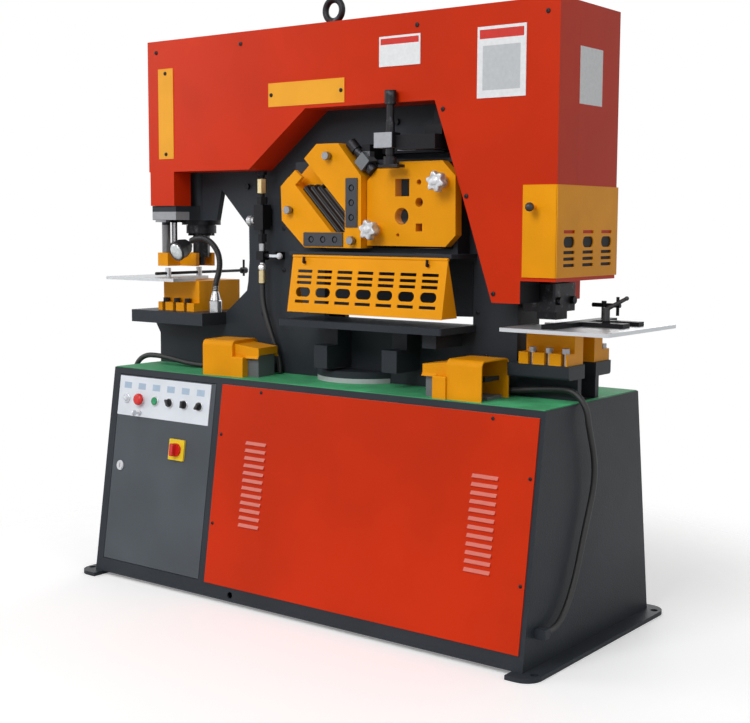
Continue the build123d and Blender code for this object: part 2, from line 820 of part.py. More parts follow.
def ram_guide():
    """Punch cylinder on its saddle, the flange before it and the bar with the stripper's columns and rods."""
    guide = rod_z(punch_x, 0, barrel_size, arm_bottom - guide_plate_thickness, barrel_top)
    guide += block(punch_x, head_left, -saddle_width / 2, saddle_width / 2, saddle_bottom, barrel_top)
    guide += block(ram_box_left, ram_box_right, -160, -20, arm_bottom, arm_bottom + guide_flange_height)
    bar_bottom = arm_bottom - column_bar_drop
    guide += block(column_x - column_bar_width / 2, column_x + column_bar_width / 2, -stripper_depth / 2,
                   stripper_depth / 2, bar_bottom, bar_bottom + column_bar_height)
    for side in (-1, 1):
        guide += rod_z(column_x, side * column_spacing / 2, column_size, stripper_top, bar_bottom + 1)
        guide += rod_z(column_x + 7, side * lift_rod_spacing / 2, lift_rod_size, stripper_top, bar_bottom + 1)
    guide -= rod_z(punch_x, 0, punch_piston, arm_bottom + 20, barrel_top - 20)
    guide -= rod_z(punch_x, 0, punch_rod + 2 * running_fit, arm_bottom - guide_plate_thickness - 1, arm_bottom + 21)
    return guide


def punch_ram():
    """Piston, rod, bolted holder, coupling nut and punch, which travel as one."""
    tip = side_table_top + punch_rise
    nut_bottom = stripper_bottom + 30
    holder_bottom = stripper_top + punch_stroke + 10
    holder_top = arm_bottom - guide_plate_thickness - 1
    ram = rod_z(punch_x, 0, punch_piston - 2 * running_fit, 1450, 1510)
    ram += rod_z(punch_x, 0, punch_rod, holder_top - 1, 1451)
    ram += rod_z(punch_x, 0, 100, holder_bottom, holder_top)
    for turn in range(0, 360, 60):
        angle = math.radians(turn)
        ram += hex_z(punch_x + 38 * math.cos(angle), 38 * math.sin(angle), 13, holder_bottom - 8, holder_bottom + 1)
    ram += hex_z(punch_x, 0, punch_nut, nut_bottom, holder_bottom + 1)
    ram += rod_z(punch_x, 0, punch_size, tip, nut_bottom + 1)
    return ram


def stripper():
    """Bar hung on the two columns, with a fork that reaches round the punch, open to the right."""
    half = stripper_depth / 2
    fork_half = stripper_slot / 2 + stripper_prong
    bar = block(column_x - stripper_bar / 2, column_x + stripper_bar / 2, -half, half, stripper_bottom, stripper_top)
    bar = chamfer(bar.edges().filter_by(Axis.Z).sort_by(Axis.Y)[-2:], 12)
    plate = bar + block(column_x, punch_x + stripper_reach, -fork_half, fork_half, stripper_bottom, stripper_top)
    plate -= rod_z(punch_x, 0, stripper_slot, stripper_bottom - 1, stripper_top + 1)
    return plate - block(punch_x, punch_x + stripper_reach + 1, -stripper_slot / 2, stripper_slot / 2,
                         stripper_bottom - 1, stripper_top + 1)


def bolsters():
    """Thick die seats: one carried in the punch throat, one over the right lobe of the frame."""
    left = block(left_bolster_left, left_bolster_right, -left_bolster_width / 2, left_bolster_width / 2,
                 left_bolster_bottom, left_bolster_top)
    left -= rod_z(punch_x, 0, slug_hole + 10, left_bolster_bottom - 1, left_bolster_top + 1)
    right = block(right_bolster_left, right_bolster_right, -right_bolster_width / 2, right_bolster_width / 2,
                  right_bolster_bottom, right_bolster_top)
    right = fillet(right.edges().filter_by(Axis.X).sort_by(Axis.Z)[:2], 8)
    right -= notch_channel(right_bolster_bottom - 1, right_bolster_top + 1)
    return left, right


def notch_channel(z0, z1):
    """Way out for the notched scrap, open at the right end."""
    half = notch_blade_width / 2 + notch_clear
    return block(notch_blade_left - notch_clear, frame_right + 20, -half, half, z0, z1)


def clamp_places(first, edge):
    """Centres of the three clamping slots in a die's front and back flange."""
    return [(first + slot_pitch * index, side * edge) for side in (-1, 1) for index in range(3)]


left_slots_first = punch_x - 7 - slot_pitch
left_slot_y = (die_flange_depth + die_depth) / 4
right_slots_first = notch_die_left + 36
right_slot_y = (notch_die_flange_depth + notch_die_depth) / 4 + 6


def die_block(x0, x1, z0, flange_depth, flange_height, depth, height, first, bolt_y):
    die = block(x0, x1, -flange_depth / 2, flange_depth / 2, z0, z0 + flange_height)
    die += block(x0, x1, -depth / 2, depth / 2, z0 + flange_height - 1, z0 + flange_height + height)
    for x, y in clamp_places(first, bolt_y):
        outer = math.copysign(flange_depth / 2 + 1, y)
        die -= block(x - clamp_slot / 2, x + clamp_slot / 2, min(y, outer), max(y, outer), z0 - 1,
                     z0 + flange_height + 1)
        die -= rod_z(x, y, clamp_slot, z0 - 1, z0 + flange_height + 1)
    return die


def die_block_left():
    die = die_block(punch_x - die_width / 2, punch_x + die_width / 2, left_bolster_top, die_flange_depth,
                    die_flange_height, die_depth, die_height, left_slots_first, left_slot_y)
    die -= rod_z(punch_x, 0, slug_hole, left_bolster_top - 1, die_top - 15)
    return die - rod_z(punch_x, 0, die_hole, die_top - 16, die_top + 1)


def notch_die():
    die = die_block(notch_die_left, notch_die_left + notch_die_width, right_bolster_top, notch_die_flange_depth,
                    notch_die_flange_height, notch_die_depth, notch_die_height, right_slots_first, right_slot_y)
    die -= notch_channel(right_bolster_top - 1, notch_die_top - 15)
    return die - blade_entry(notch_die_top - 16, notch_die_top + 1)


def blade_entry(z0, z1):
    half = notch_blade_width / 2 + notch_clear
    end = notch_blade_left + notch_blade_length + notch_clear
    return block(notch_blade_left - notch_clear, end, -half, half, z0, z1)


def side_table_left():
    """Thin support cut out round the punch, with two posts that hold the stop rod."""
    table = block(side_table_left_end, side_table_right_end, side_table_front, side_table_back, die_top, side_table_top)
    table -= block(punch_x - side_table_notch, side_table_right_end + 1, side_table_notch_front, side_table_back + 1,
                   die_top - 1, side_table_top + 1)
    rod_z_height = side_table_top + stop_rod_rise
    for y in (-95, side_table_back - stop_post):
        table += rod_z(stop_rod_x, y, stop_post, side_table_top - 1, side_table_top + 30)
    return table - rod_y(stop_rod_x, rod_z_height, stop_rod_size + 2 * running_fit, -300, 300)


def stop_rod():
    """Depth stop along Y with a tommy bar at its back end."""
    z = side_table_top + stop_rod_rise
    back = table_depth / 2 + 85
    rod = rod_y(stop_rod_x, z, stop_rod_size, -150, back)
    hub = rod_y(stop_rod_x, z, 22, back - 22, back)
    bar = rod_z(stop_rod_x, back - 11, 8, z - 20, z + 38)
    return rod + hub + bar


def lamp_neck_points():
    return [
        (lamp_base_x, lamp_base_y, left_bolster_top + 66),
        (-522, -85, 955),
        (-508, -86, 985),
        (-499, -89, 1018),
        (-501, -95, 1052),
        (-518, -104, 1082),
        (-547, -111, 1098),
        (-580, -114, 1097),
        (-607, -110, 1088),
    ]


lamp_axis = Vector(0.06, 0.93, 0.36)


def lamp_lens_centre():
    return Vector(-630, -158, 1053)


def lamp_arm():
    """Base on the bolster, bent flexible neck and the thin lead beside it."""
    base = rod_z(lamp_base_x, lamp_base_y, 42, left_bolster_top, left_bolster_top + 40)
    base = chamfer(base.edges().sort_by(Axis.Z)[-1], 4)
    cone = Pos(lamp_base_x, lamp_base_y, left_bolster_top + 39 + 14) * Cone(18, 11, 28)
    neck = tube(lamp_neck_points(), lamp_neck_size, "lamp neck", least=2.0)
    return base + cone + neck


def lamp_head():
    """Round lamp: lens at the front, shell tapering to its socket."""
    front = Plane(lamp_lens_centre(), x_dir=(1, 0, 0), z_dir=lamp_axis)
    size = lamp_lens_size / 2
    profile = Polyline((0, 0), (size - 3, 0), (size, 3), (size, 26), (size * 0.55, 52), (12, 58), (0, 58), close=True)
    body = revolve(Plane.XZ * make_face(profile), axis=Axis.Z)
    socket = Pos(-619.2, -105.1, 1086.4) * Sphere(13)
    return front * body + socket


angle_outline = [(-162, 1257), (-23, 1378), (58, 1378), (143, 1282), (143, 1076), (-69, 1076), (-158, 1155)]
blade_corner_x = 84.0
blade_corner_z = 1121.0
channel_low = 1155.0
channel_high = 1267.0


def channel(low, high, right, bottom):
    """45 degree channel between two diagonals, closed by a right side and a bottom."""
    return [(low - 1420, 1420), (high - 1420, 1420), (right, high - right), (right, bottom), (low - bottom, bottom)]


def angle_plate():
    """Thick plate with the sloping channel of the moving blade and seats for the fixed ones."""
    front = shear_face - angle_plate_thickness
    plate = prism_xz(angle_outline, front, shear_face)
    seat = front + blade_thickness
    floor = shear_face - 8
    plate -= prism_xz(channel(channel_low, channel_high, blade_corner_x, blade_corner_z), front - 1, floor)
    behind = channel(channel_low, channel_high, blade_corner_x + angle_stroke_room, blade_corner_z - angle_stroke_room)
    plate -= prism_xz(behind, seat, floor)
    for x0, x1, z0, z1 in fixed_blade_places():
        plate -= block(x0 - touch_gap, x1 + touch_gap, front - 1, seat, z0 - touch_gap, z1 + touch_gap)
    lug = [(-160, 1257), (-106, 1304), (-79, 1283), (-133, 1236)]
    plate += prism_xz(lug, front, front + 12)
    return plate


def fixed_blade_places():
    """The upright and the lying fixed blade, as x0, x1, z0, z1."""
    upright = (blade_corner_x + 4, blade_corner_x + 47, blade_corner_z + 15, 1277)
    lying = (-71, blade_corner_x - 6, 1080, blade_corner_z - 1)
    return [upright, lying]


def angle_blades():
    """Two fixed blades, each held by three countersunk screws."""
    front = shear_face - angle_plate_thickness
    blades = []
    for index, (x0, x1, z0, z1) in enumerate(fixed_blade_places()):
        blade = block(x0, x1, front - 3, front + blade_thickness, z0, z1)
        blade = chamfer(blade.edges().filter_by(Axis.Y), 1.5)
        for step in (0.2, 0.5, 0.8):
            x = (x0 + x1) / 2 if index == 0 else x0 + step * (x1 - x0)
            z = z0 + step * (z1 - z0) if index == 0 else (z0 + z1) / 2
            blade -= rod_y(x, z, 20, front - 4, front + 3)
            blade += rod_y(x, z, 13, front - 2, front + 4)
        blades.append(blade)
    return blades


def angle_slide():
    """Moving blade holder in the channel; it travels down to the right behind the fixed blades."""
    front = shear_face - angle_plate_thickness + blade_thickness + 2
    play = 0.4
    outline = [
        (channel_low + play * 1.5 - 1250, 1250),
        (channel_high - play * 1.5 - 1250, 1250),
        (blade_corner_x - 2, channel_high - play * 1.5 - blade_corner_x + 2),
        (blade_corner_x - 2, blade_corner_z + 2),
        (channel_low + play * 1.5 - blade_corner_z - 2, blade_corner_z + 2),
    ]
    slide = prism_xz(outline, front, shear_face - 8 - touch_gap)
    for step in range(3):
        x = channel_low - 1245 + step * 26
        slide += prism_xz([(x, 1248), (x + 22, 1248), (x + 22, 1262), (x, 1255)], front + 2, shear_face - 12)
    return slide


bar_outline = [
    (145, 1084), (145, 1268), (181, 1303), (260, 1303), (260, 1321), (406, 1321), (450, 1278), (452, 1116),
    (419, 1084),
]
star_places = [(414, 1262), (182, 1129)]


def bar_plate():
    """Fixed plate of the bar shear with its square and round openings and two studs' collars."""
    front = shear_face - bar_plate_thickness
    plate = prism_xz(bar_outline, front, shear_face)
    plate -= bar_holes(front - 1, shear_face + 1, 0)
    for x, z in star_places:
        plate += rod_y(x, z, 34, front - 8, front + 1)
        plate += rod_y(x, z, star_stud, front - 30, front - 7)
    return plate


def star_knob(place):
    """Six-lobed hand knob with a blind bore over its stud."""
    x, z = place
    back = shear_face - bar_plate_thickness - 8
    front = back - 44
    knob = rod_y(x, z, star_knob_size * 0.72, front, front + 26)
    for turn in range(0, 360, 60):
        angle = math.radians(turn + 15)
        reach = star_knob_size * 0.34
        knob += rod_y(x + reach * math.cos(angle), z + reach * math.sin(angle), star_knob_size * 0.32,
                      front, front + 26)
    knob += rod_y(x, z, 30, front + 25, back)
    return knob - rod_y(x, z, star_stud + 2 * running_fit, back - 26, back + 1)


screw_x = 254.0
screw_y = -186.0
screw_size = 26.0
nut_block_bottom = 1358.0
nut_block_top = 1400.0
pad_bottom = 1303.5


def hold_down():
    """Arm on the frame with the nut blocks of both hold-down screws."""
    block_front = screw_y - 19
    nut_block = block(211, 276, block_front, screw_y + 18, nut_block_bottom, nut_block_top)
    nut_block -= rod_z(screw_x, screw_y, screw_size + 2 * running_fit, nut_block_bottom - 1, nut_block_top + 1)
    arm = block(275, 408, -190, -155, nut_block_bottom - 6, nut_block_top - 8)
    post = block(350, 408, -156, -frame_half, nut_block_bottom - 6, nut_block_top + 20)
    gusset = prism_xz([(312, nut_block_top - 9), (351, nut_block_top - 9), (351, nut_block_top + 40)],
                      -110, -frame_half)
    upright = block(350, 388, -110, -frame_half, nut_block_top + 19, nut_block_top + 66)
    link = block(120, 371, -90, -frame_half, nut_block_bottom - 10, nut_block_bottom + 20)
    cube = Pos(*diagonal_centre) * Rot(0, 45, 0) * Box(36, 40, 40)
    stem = block(diagonal_centre[0] - 14, diagonal_centre[0] + 14, diagonal_centre[1], -frame_half,
                 diagonal_centre[2] + 8, nut_block_bottom + 15)
    frame = arm + post + gusset + upright + link + nut_block + cube + stem
    return frame - diagonal_rod(screw_size + 2 * running_fit, -80, 80)


diagonal_centre = (141.0, -150.0, 1324.0)


def diagonal_rod(size, start, stop):
    """Rod on the sloping screw's axis, measured from the cube's centre down to the right."""
    middle = (start + stop) / 2
    return Pos(*diagonal_centre) * Rot(0, -45, 0) * Pos(0, 0, -middle) * Cylinder(size / 2, stop - start)


def hold_screw():
    """Upright hold-down screw with its square cap and the pad under it."""
    screw = rod_z(screw_x, screw_y, screw_size - 4, pad_bottom + 20, 1480)
    screw += rod_z(screw_x, screw_y, screw_size, nut_block_bottom - 20, nut_block_top + 30)
    screw += rod_z(screw_x, screw_y, 33, 1478, 1516)
    screw += block(225, 292, screw_y - 18, screw_y + 18, pad_bottom, pad_bottom + 8)
    return screw + rod_z(screw_x, screw_y, 38, pad_bottom + 7, pad_bottom + 30)


def hold_screw_diagonal():
    """Sloping hold-down screw with its hexagon cap and pressure foot."""
    screw = diagonal_rod(screw_size, -74, 30)
    screw += diagonal_rod(34, -78, -46)
    return screw + diagonal_rod(36, 29, 42)


def shear_table():
    """Support in front of the plate shear, its ribs and the fixed lower blade."""
    bottom = shear_table_top - shear_table_thickness
    table = block(shear_table_left, shear_table_right, shear_table_front, -frame_half, bottom, shear_table_top)
    table = fillet(table.edges().filter_by(Axis.Z).sort_by(Axis.Y)[:2], 6)
    table += block(shear_slot_left + 5, shear_slot_right - 5, -frame_half - 1, -plate_inner - touch_gap,
                   shear_blade_bottom, shear_table_top)
    for x0, x1, low in ((-30, 20, 719), (222, 275, 723)):
        table += block(x0, x1, -178, -frame_half, low, 787)
        table += block(x0, x1, -128, -frame_half, 786, bottom + 1)
    table += block(372, 418, -190, -frame_half, 803, bottom + 1)
    return table


def guard_plane():
    lean = math.atan(guard_lean / (guard_top - guard_bottom))
    out = (0, -math.cos(lean), math.sin(lean))
    return Plane(((guard_left + guard_right) / 2, guard_hinge_y, guard_top), x_dir=(1, 0, 0), z_dir=out)


def shear_guard():
    """Leaning guard plate with seven columns of slots, folded side cheeks and a hinge barrel."""
    height = math.hypot(guard_lean, guard_top - guard_bottom)
    width = guard_right - guard_left
    sheet = Pos(0, -height / 2, 0) * Box(width, height, guard_sheet)
    pitch = (width - guard_slot_length - 50) / (guard_columns - 1)
    for column in range(guard_columns):
        x = (column - (guard_columns - 1) / 2) * pitch
        for drop in (44, 61, 78, 134):
            sheet -= Pos(x, -drop, 0) * Box(guard_slot_length, guard_slot_width, 20)
        oval = extrude(SlotOverall(guard_slot_length, guard_oval_width), amount=10, both=True)
        sheet -= Pos(x, -106, 0) * oval
    for x in (-width / 2 + 50, width / 2 - 62):
        sheet += Pos(x, -18, 5) * Cylinder(5, 10)
        sheet += Pos(x, -12, 11) * Box(4, 18, 8)
    guard = guard_plane() * sheet
    cheek_back = -150
    cheek = [(guard_hinge_y, guard_top - 4), (guard_hinge_y - guard_lean, guard_bottom + 1),
             (cheek_back, guard_bottom + 1)]
    guard += prism_yz(cheek, guard_left, guard_left + guard_sheet)
    guard += prism_yz(cheek, guard_right - guard_sheet, guard_right)
    return guard + rod_x(guard_hinge_y, guard_top, guard_hinge_size, guard_left, guard_right)


def notch_ram():
    """Stem between the plates, broad head and the notching blade."""
    head_bottom = notch_blade_bottom + notch_blade_height
    head_top = head_bottom + ram_height
    ram = block(ram_left, ram_left + ram_length, -ram_width / 2, ram_width / 2, head_bottom, head_top)
    ram = fillet(ram.edges().filter_by(Axis.Z), 6)
    ram += block(ram_left + 8, ram_left + 78, -plate_inner + running_fit, plate_inner - running_fit,
                 head_top - 1, beam_end_bottom - 1.5)
    ram += block(notch_blade_left, notch_blade_left + notch_blade_length, -notch_blade_width / 2,
                 notch_blade_width / 2, notch_blade_bottom, head_bottom + 1)
    for y in (-ram_bolt_spacing / 2, ram_bolt_spacing / 2):
        ram += rod_x(y, head_bottom + 30, 22, ram_left + ram_length - 1, ram_left + ram_length + 10)
    return ram


def notch_table():
    """Sheet support of the notcher with the blade's opening and its T-slot."""
    half = notch_table_depth / 2
    table = block(notch_table_left, notch_table_right, -half, half, notch_die_top, notch_table_top)
    table = fillet(table.edges().filter_by(Axis.Z).sort_by(Axis.X)[-2:], 12)
    table -= block(notch_table_left - 1, notch_blade_left + notch_blade_length + notch_clear,
                   -notch_blade_width / 2 - notch_clear, notch_blade_width / 2 + notch_clear,
                   notch_die_top - 1, notch_table_top + 1)
    return table


def fence():
    """Back gauge of black bars on the table: a cross bar, two side bars and a small stop post."""
    z0 = notch_table_top
    gauge = block(742, 782, -178, 178, z0, z0 + 12)
    gauge += block(781, 905, -34, 6, z0, z0 + 12)
    gauge += block(742, 905, 60, 92, z0, z0 + 12)
    gauge += rod_z(846, -14, 22, z0 + 11, z0 + 18)
    gauge += rod_z(846, -14, 10, z0 + 17, z0 + 34)
    gauge += rod_z(770, 120, 14, z0 + 11, z0 + 62)
    gauge += rod_x(120, z0 + 50, 12, 735, 820)
    gauge += rod_z(812, 120, 9, z0 + 22, z0 + 74)
    return gauge


def clamp_lever():
    """Adjustable clamping lever on the fence's stud."""
    z0 = notch_table_top + 18 + touch_gap
    hub = rod_z(846, -14, 19, z0, z0 + 34)
    hub -= rod_z(846, -14, 10 + 2 * running_fit, z0 - 1, z0 + 17)
    arm = Pos(846, -14, z0 + 30) * Rot(0, 62, 0) * Pos(0, 0, 33) * Cone(6, 5, 66)
    tip = Pos(846, -14, z0 + 30) * Rot(0, 62, 0) * Pos(0, 0, 66) * Sphere(6)
    return hub + arm + tip


def notch_guard():
    """Folded guard around the cover's right end, with three columns of holes and its knob."""
    inner_y = cover_half + touch_gap
    inner_x = cover_right + touch_gap
    outer_y = inner_y + notch_guard_sheet
    outer_x = inner_x + notch_guard_sheet
    guard = block(notch_guard_left, outer_x, -outer_y, outer_y, notch_guard_bottom, notch_guard_top)
    guard -= block(notch_guard_left - 1, inner_x, -inner_y, inner_y, notch_guard_bottom - 1, notch_guard_top + 1)
    for y in (-105, 0, 105):
        guard -= rod_x(y, 1100, 30, inner_x - 5, outer_x + 5)
        guard -= block(inner_x - 5, outer_x + 5, y - 30, y + 30, 1124, 1131)
        for z in (1040, 1057, 1074):
            guard -= block(inner_x - 5, outer_x + 5, y - 30, y + 30, z - 3, z + 3)
    guard += rod_y(712, 1192, 12, -outer_y - 18, -outer_y + 1)
    guard += Pos(712, -outer_y - 26, 1192) * Sphere(12)
    return guard


def pedal_local(part_name):
    """One pedal in its own frame: rear end at x = 0, mouth at x = pedal_length, front at y = 0."""
    neck_end = pedal_length - pedal_hood
    rear_end = neck_end - pedal_neck
    inner = pedal_wall
    if part_name == "guard":
        hood = block(neck_end, pedal_length, 0, pedal_depth, 0, pedal_height)
        hood = fillet(hood.edges().filter_by(Axis.X).sort_by(Axis.Z)[-2:], 18)
        hollow = block(neck_end + inner, pedal_length + 1, inner, pedal_depth - inner, -1, pedal_height - inner)
        hood -= fillet(hollow.edges().filter_by(Axis.X).sort_by(Axis.Z)[-2:], 14)
        hood -= block(neck_end - 1, neck_end + inner + 1, 37, pedal_depth - inner, -1, 72)
        hood -= block(neck_end - 1, neck_end + 12, pedal_depth - inner - 1, pedal_depth + 1, -1, 24)
        step = block(rear_end, neck_end + 1, -6, 40, 0, 62)
        step = fillet(step.edges().filter_by(Axis.X).sort_by(Axis.Z)[-2:], 6)
        step -= block(rear_end + inner, neck_end + 2, -2, 36, -1, 58)
        roof = prism_xz([(0, 68), (0, 90), (neck_end + 1, 100), (neck_end + 1, 56), (rear_end, 56)], 14, pedal_depth - 22)
        roof -= prism_xz([(4, 60), (4, 86), (neck_end + 2, 95), (neck_end + 2, 50), (4, 50)], 18, pedal_depth - 26)
        skirt = prism_yz([(8, 58), (18, 72), (pedal_depth - 26, 72), (pedal_depth - 16, 58)], 0, rear_end + 2)
        skirt -= prism_yz([(12, 57), (21, 70), (pedal_depth - 29, 70), (pedal_depth - 20, 57)], -1, rear_end + 3)
        return hood + step + roof + skirt
    if part_name == "base":
        base = block(6, rear_end - touch_gap, 22, pedal_depth - 30, 0, 66)
        plate = block(rear_end - 1, pedal_length - 10, 44, pedal_depth - 20, 0, 9)
        ears = block(neck_end - 22, neck_end - 10, 44, 50, 8, 46) + block(neck_end - 22, neck_end - 10, 100, 106, 8, 46)
        ears += block(rear_end - 3, neck_end - 10, 44, 50, 8, 30) + block(rear_end - 3, neck_end - 10, 100, 106, 8, 30)
        pin = Pos(neck_end - 16, 75, 38) * Rot(90, 0, 0) * Cylinder(4, 60)
        elbow = block(neck_end - 8, neck_end + 22, pedal_depth + 4, pedal_depth + 34, 0, 30)
        elbow += block(neck_end - 8, neck_end + 10, pedal_depth - 21, pedal_depth + 5, 0, 22)
        return base + plate + ears + pin + elbow
    tread = prism_xz([(neck_end - 20, 33), (neck_end - 20, 43), (pedal_length - 14, 62), (pedal_length - 14, 54)], 52, 98)
    tread += prism_xz([(neck_end + 14, 40), (neck_end + 14, 52), (pedal_length - 14, 62), (pedal_length - 14, 50)],
                      40, 112)
    tread -= Pos(neck_end - 16, 75, 38) * Rot(90, 0, 0) * Cylinder(4 + running_fit, 80)
    return tread


def place_pedal(shape, side):
    """Stands a pedal on the mat: the right one as built, the left one turned to face away."""
    if side > 0:
        return Pos(right_pedal_x, pedal_front, mat_top) * shape
    turned = mirror(shape, about=Plane.YZ)
    placed = Pos(pedal_length, 0, 0) * turned
    return Pos(left_pedal_x, pedal_front, mat_top) * Rot(0, 0, left_pedal_turn) * placed


valve_x = -312.0
valve_y = -92.0


def valve_line():
    """Pipe, brass couplings, valve body, tee and branch on the frame's face."""
    line = rod_z(valve_x, valve_y, 16, 955, 1307)
    line += rod_z(valve_x, valve_y, 30, 1296, 1307)
    line += hex_z(valve_x, valve_y, 26, 1240, 1283)
    line += hex_z(valve_x, valve_y, 30, 1206, 1228)
    line += block(valve_x - 19, valve_x + 19, valve_y - 19, valve_y + 19, 1126, 1204)
    line += block(valve_x - 12, valve_x + 12, valve_y + 18, -frame_half, 1140, 1190)
    line += rod_x(valve_y, 1155, 14, valve_x - 30, valve_x - 18)
    line += hex_z(valve_x, valve_y, 24, 1088, 1112)
    line += rod_z(valve_x, valve_y, 22, 1060, 1082)
    line += block(valve_x - 14, valve_x + 14, valve_y - 14, valve_y + 14, 1032, 1060)
    line += rod_x(valve_y, 1046, 14, valve_x + 10, valve_x + 62)
    line += block(valve_x + 44, valve_x + 66, valve_y - 12, -frame_half, 1034, 1058)
    line += Pos(valve_x, valve_y, 1008) * Sphere(14)
    line += rod_z(valve_x, valve_y, 24, 960, 998)
    return line


def valve_knob():
    """Round adjusting knob on the valve's left side."""
    start = valve_x - 30
    knob = rod_x(valve_y, 1155, 22, start - 12, start)
    return knob + rod_x(valve_y, 1155, 30, start - 26, start - 11)


def valve_lever():
    """Short lever with a white ball on the branch's shut-off valve."""
    x = valve_x + 55
    stem = rod_y(x, 1046, 8, valve_y - 26, valve_y - 12)
    arm = block(x - 4, x + 34, valve_y - 26, valve_y - 21, 1042, 1050)
    return stem + arm + Pos(x + 36, valve_y - 23, 1046) * Sphere(10)


def hose_points():
    return [
        (valve_x, valve_y, 955),
        (valve_x, valve_y, 918),
        (-306, -92, 882),
        (-294, -92, 846),
        (-281, -90, 809),
        (-268, -87, 772),
        (-256, -83, 736),
        (hose_end_x, hose_end_y, 704),
        (hose_end_x, hose_end_y, bed_top + 6),
    ]


def cable_points(side):
    """Route of a pedal's cable: along the frame, over the cabinet's end and down to its gland."""
    if side > 0:
        x, y, z = right_elbow()
        route = [(x, y, z), (x + 42, y, z), (608, -85, 693), (658, -80, 699), (706, -79, 704), (746, -80, 707)]
        route += [(784, -84, 707), (815, -88, 689), (834, -88, 658), (837, -84, 622), (838, -70, 583)]
        route += [(838, -53, 540), (837, -42, 492), (835, -44, 442), (832, -58, 391), (cable_drop_x, -78, 340)]
    else:
        start = Vector(*left_elbow())
        turn = math.radians(left_pedal_turn)
        ahead = start + Vector(-math.cos(turn), -math.sin(turn), 0) * 40
        route = [tuple(start), tuple(ahead), (-444, -97, 688), (-495, -113, 686), (-545, -127, 686)]
        route += [(-596, -135, 689), (-646, -139, 696), (-695, -141, 703), (-742, -144, 707), (-784, -149, 706)]
        route += [(-815, -154, 689), (-834, -156, 658), (-837, -151, 622), (-838, -136, 583), (-838, -115, 541)]
        route += [(-837, -95, 495), (-835, -79, 446), (-833, -73, 394), (-cable_drop_x, -81, 340)]
    drop = [(-99, 288), (-118, 238), (-141, 192), (-168, 151), (-200, 120), (-237, gland_z), (gland_mouth, gland_z)]
    return route + [(side * cable_drop_x, y, z) for y, z in drop]


def right_elbow():
    neck_end = pedal_length - pedal_hood
    return (right_pedal_x + neck_end + 22, pedal_front + pedal_depth + 19, mat_top + 15)


def left_elbow():
    neck_end = pedal_length - pedal_hood
    local = Vector(pedal_length - neck_end - 22, pedal_depth + 19, 15)
    turned = local.rotate(Axis.Z, left_pedal_turn)
    return (left_pedal_x + turned.X, pedal_front + turned.Y, mat_top + turned.Z)


def clamp_bolts():
    """Hexagon bolts with washers in the dies' slots, and the screws on the shear plates and frame."""
    bolts = []
    seats = [(x, y, left_bolster_top, die_flange_height) for x, y in clamp_places(left_slots_first, left_slot_y)]
    seats += [(x, y, right_bolster_top, notch_die_flange_height) for x, y in clamp_places(right_slots_first, right_slot_y)]
    for x, y, low, height in seats:
        bolt = rod_z(x, y, clamp_bolt, low, low + height + 1)
        bolt += rod_z(x, y, 22, low + height, low + height + 3)
        bolt += hex_z(x, y, 19, low + height + 2, low + height + 14)
        bolts.append(bolt)
    angle_front = shear_face - angle_plate_thickness
    for x, z in ((25, 1342), (-123, 1186), (116, 1098)):
        bolts.append(hex_y(x, z, 17, angle_front - 10, angle_front))
    for x, z in ((-400, 1262), (187, 1440), (-330, 860)):
        bolts.append(hex_y(x, z, 17, -frame_half - 9, -frame_half))
    return bolts


save("cabinet_shell", cabinet_shell())
save("top_mat", top_mat())
save("louvred_panel", louvred_panel())
save("control_door", control_door())
save("switch_plates", *switch_plates())
save("stop_button", push_button(1, 38, 12, True))
save("start_button", push_button(2, 25, 3, False))
for name, index, turn in (("selector_left", 3, 30), ("selector_middle", 4, 0), ("selector_right", 5, -30)):
    save(name, selector(index, turn))
save("key_switch", key_switch())
save("isolator_knob", isolator_knob())
save("door_lock", door_lock())
save("power_pack", power_pack())
save("frame_front", frame_front())
save("frame_rear", frame_rear())
save("swing_beam", swing_beam())
save("cylinder_body", cylinder_body())
save("cylinder_rod", cylinder_rod())
save("cover_front", cover_front())
save("cover_rear", cover_rear())
save("name_plates", *name_plates())
save("eyebolt", eyebolt())
save("punch_ram", punch_ram())
save("ram_guide", ram_guide())
save("stripper", stripper())
save("bolsters", *bolsters())
save("die_block_left", die_block_left())
save("side_table_left", side_table_left())
save("stop_rod", stop_rod())
save("lamp_head", lamp_head())
save("lamp_arm", lamp_arm())
save("angle_plate", angle_plate())
save("angle_slide", angle_slide())
save("angle_blades", *angle_blades())
save("bar_plate", bar_plate())
save("star_knob_upper", star_knob(star_places[0]))
save("star_knob_lower", star_knob(star_places[1]))
save("hold_down", hold_down())
save("hold_screw", hold_screw())
save("hold_screw_diagonal", hold_screw_diagonal())
save("shear_table", shear_table())
save("shear_guard", shear_guard())
save("notch_ram", notch_ram())
save("notch_die", notch_die())
save("notch_table", notch_table())
save("fence", fence())
save("clamp_lever", clamp_lever())
save("notch_guard", notch_guard())
for name in ("guard", "base"):
    save("pedal_" + name + "s", place_pedal(pedal_local(name), -1), place_pedal(pedal_local(name), 1))
save("pedal_left", place_pedal(pedal_local("tread"), -1))
save("pedal_right", place_pedal(pedal_local("tread"), 1))
save("valve_line", valve_line())
save("valve_knob", valve_knob())
save("valve_lever", valve_lever())
save("hose", tube(hose_points(), hose_size, "hose", least=3.0))
save("cable_left", tube(cable_points(-1), cable_size, "cable left", least=3.0))
save("cable_right", tube(cable_points(1), cable_size, "cable right", least=3.0))
save("clamp_bolts", *clamp_bolts())
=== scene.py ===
import json
import math

import bpy
import numpy as np
from mathutils import Matrix, Vector


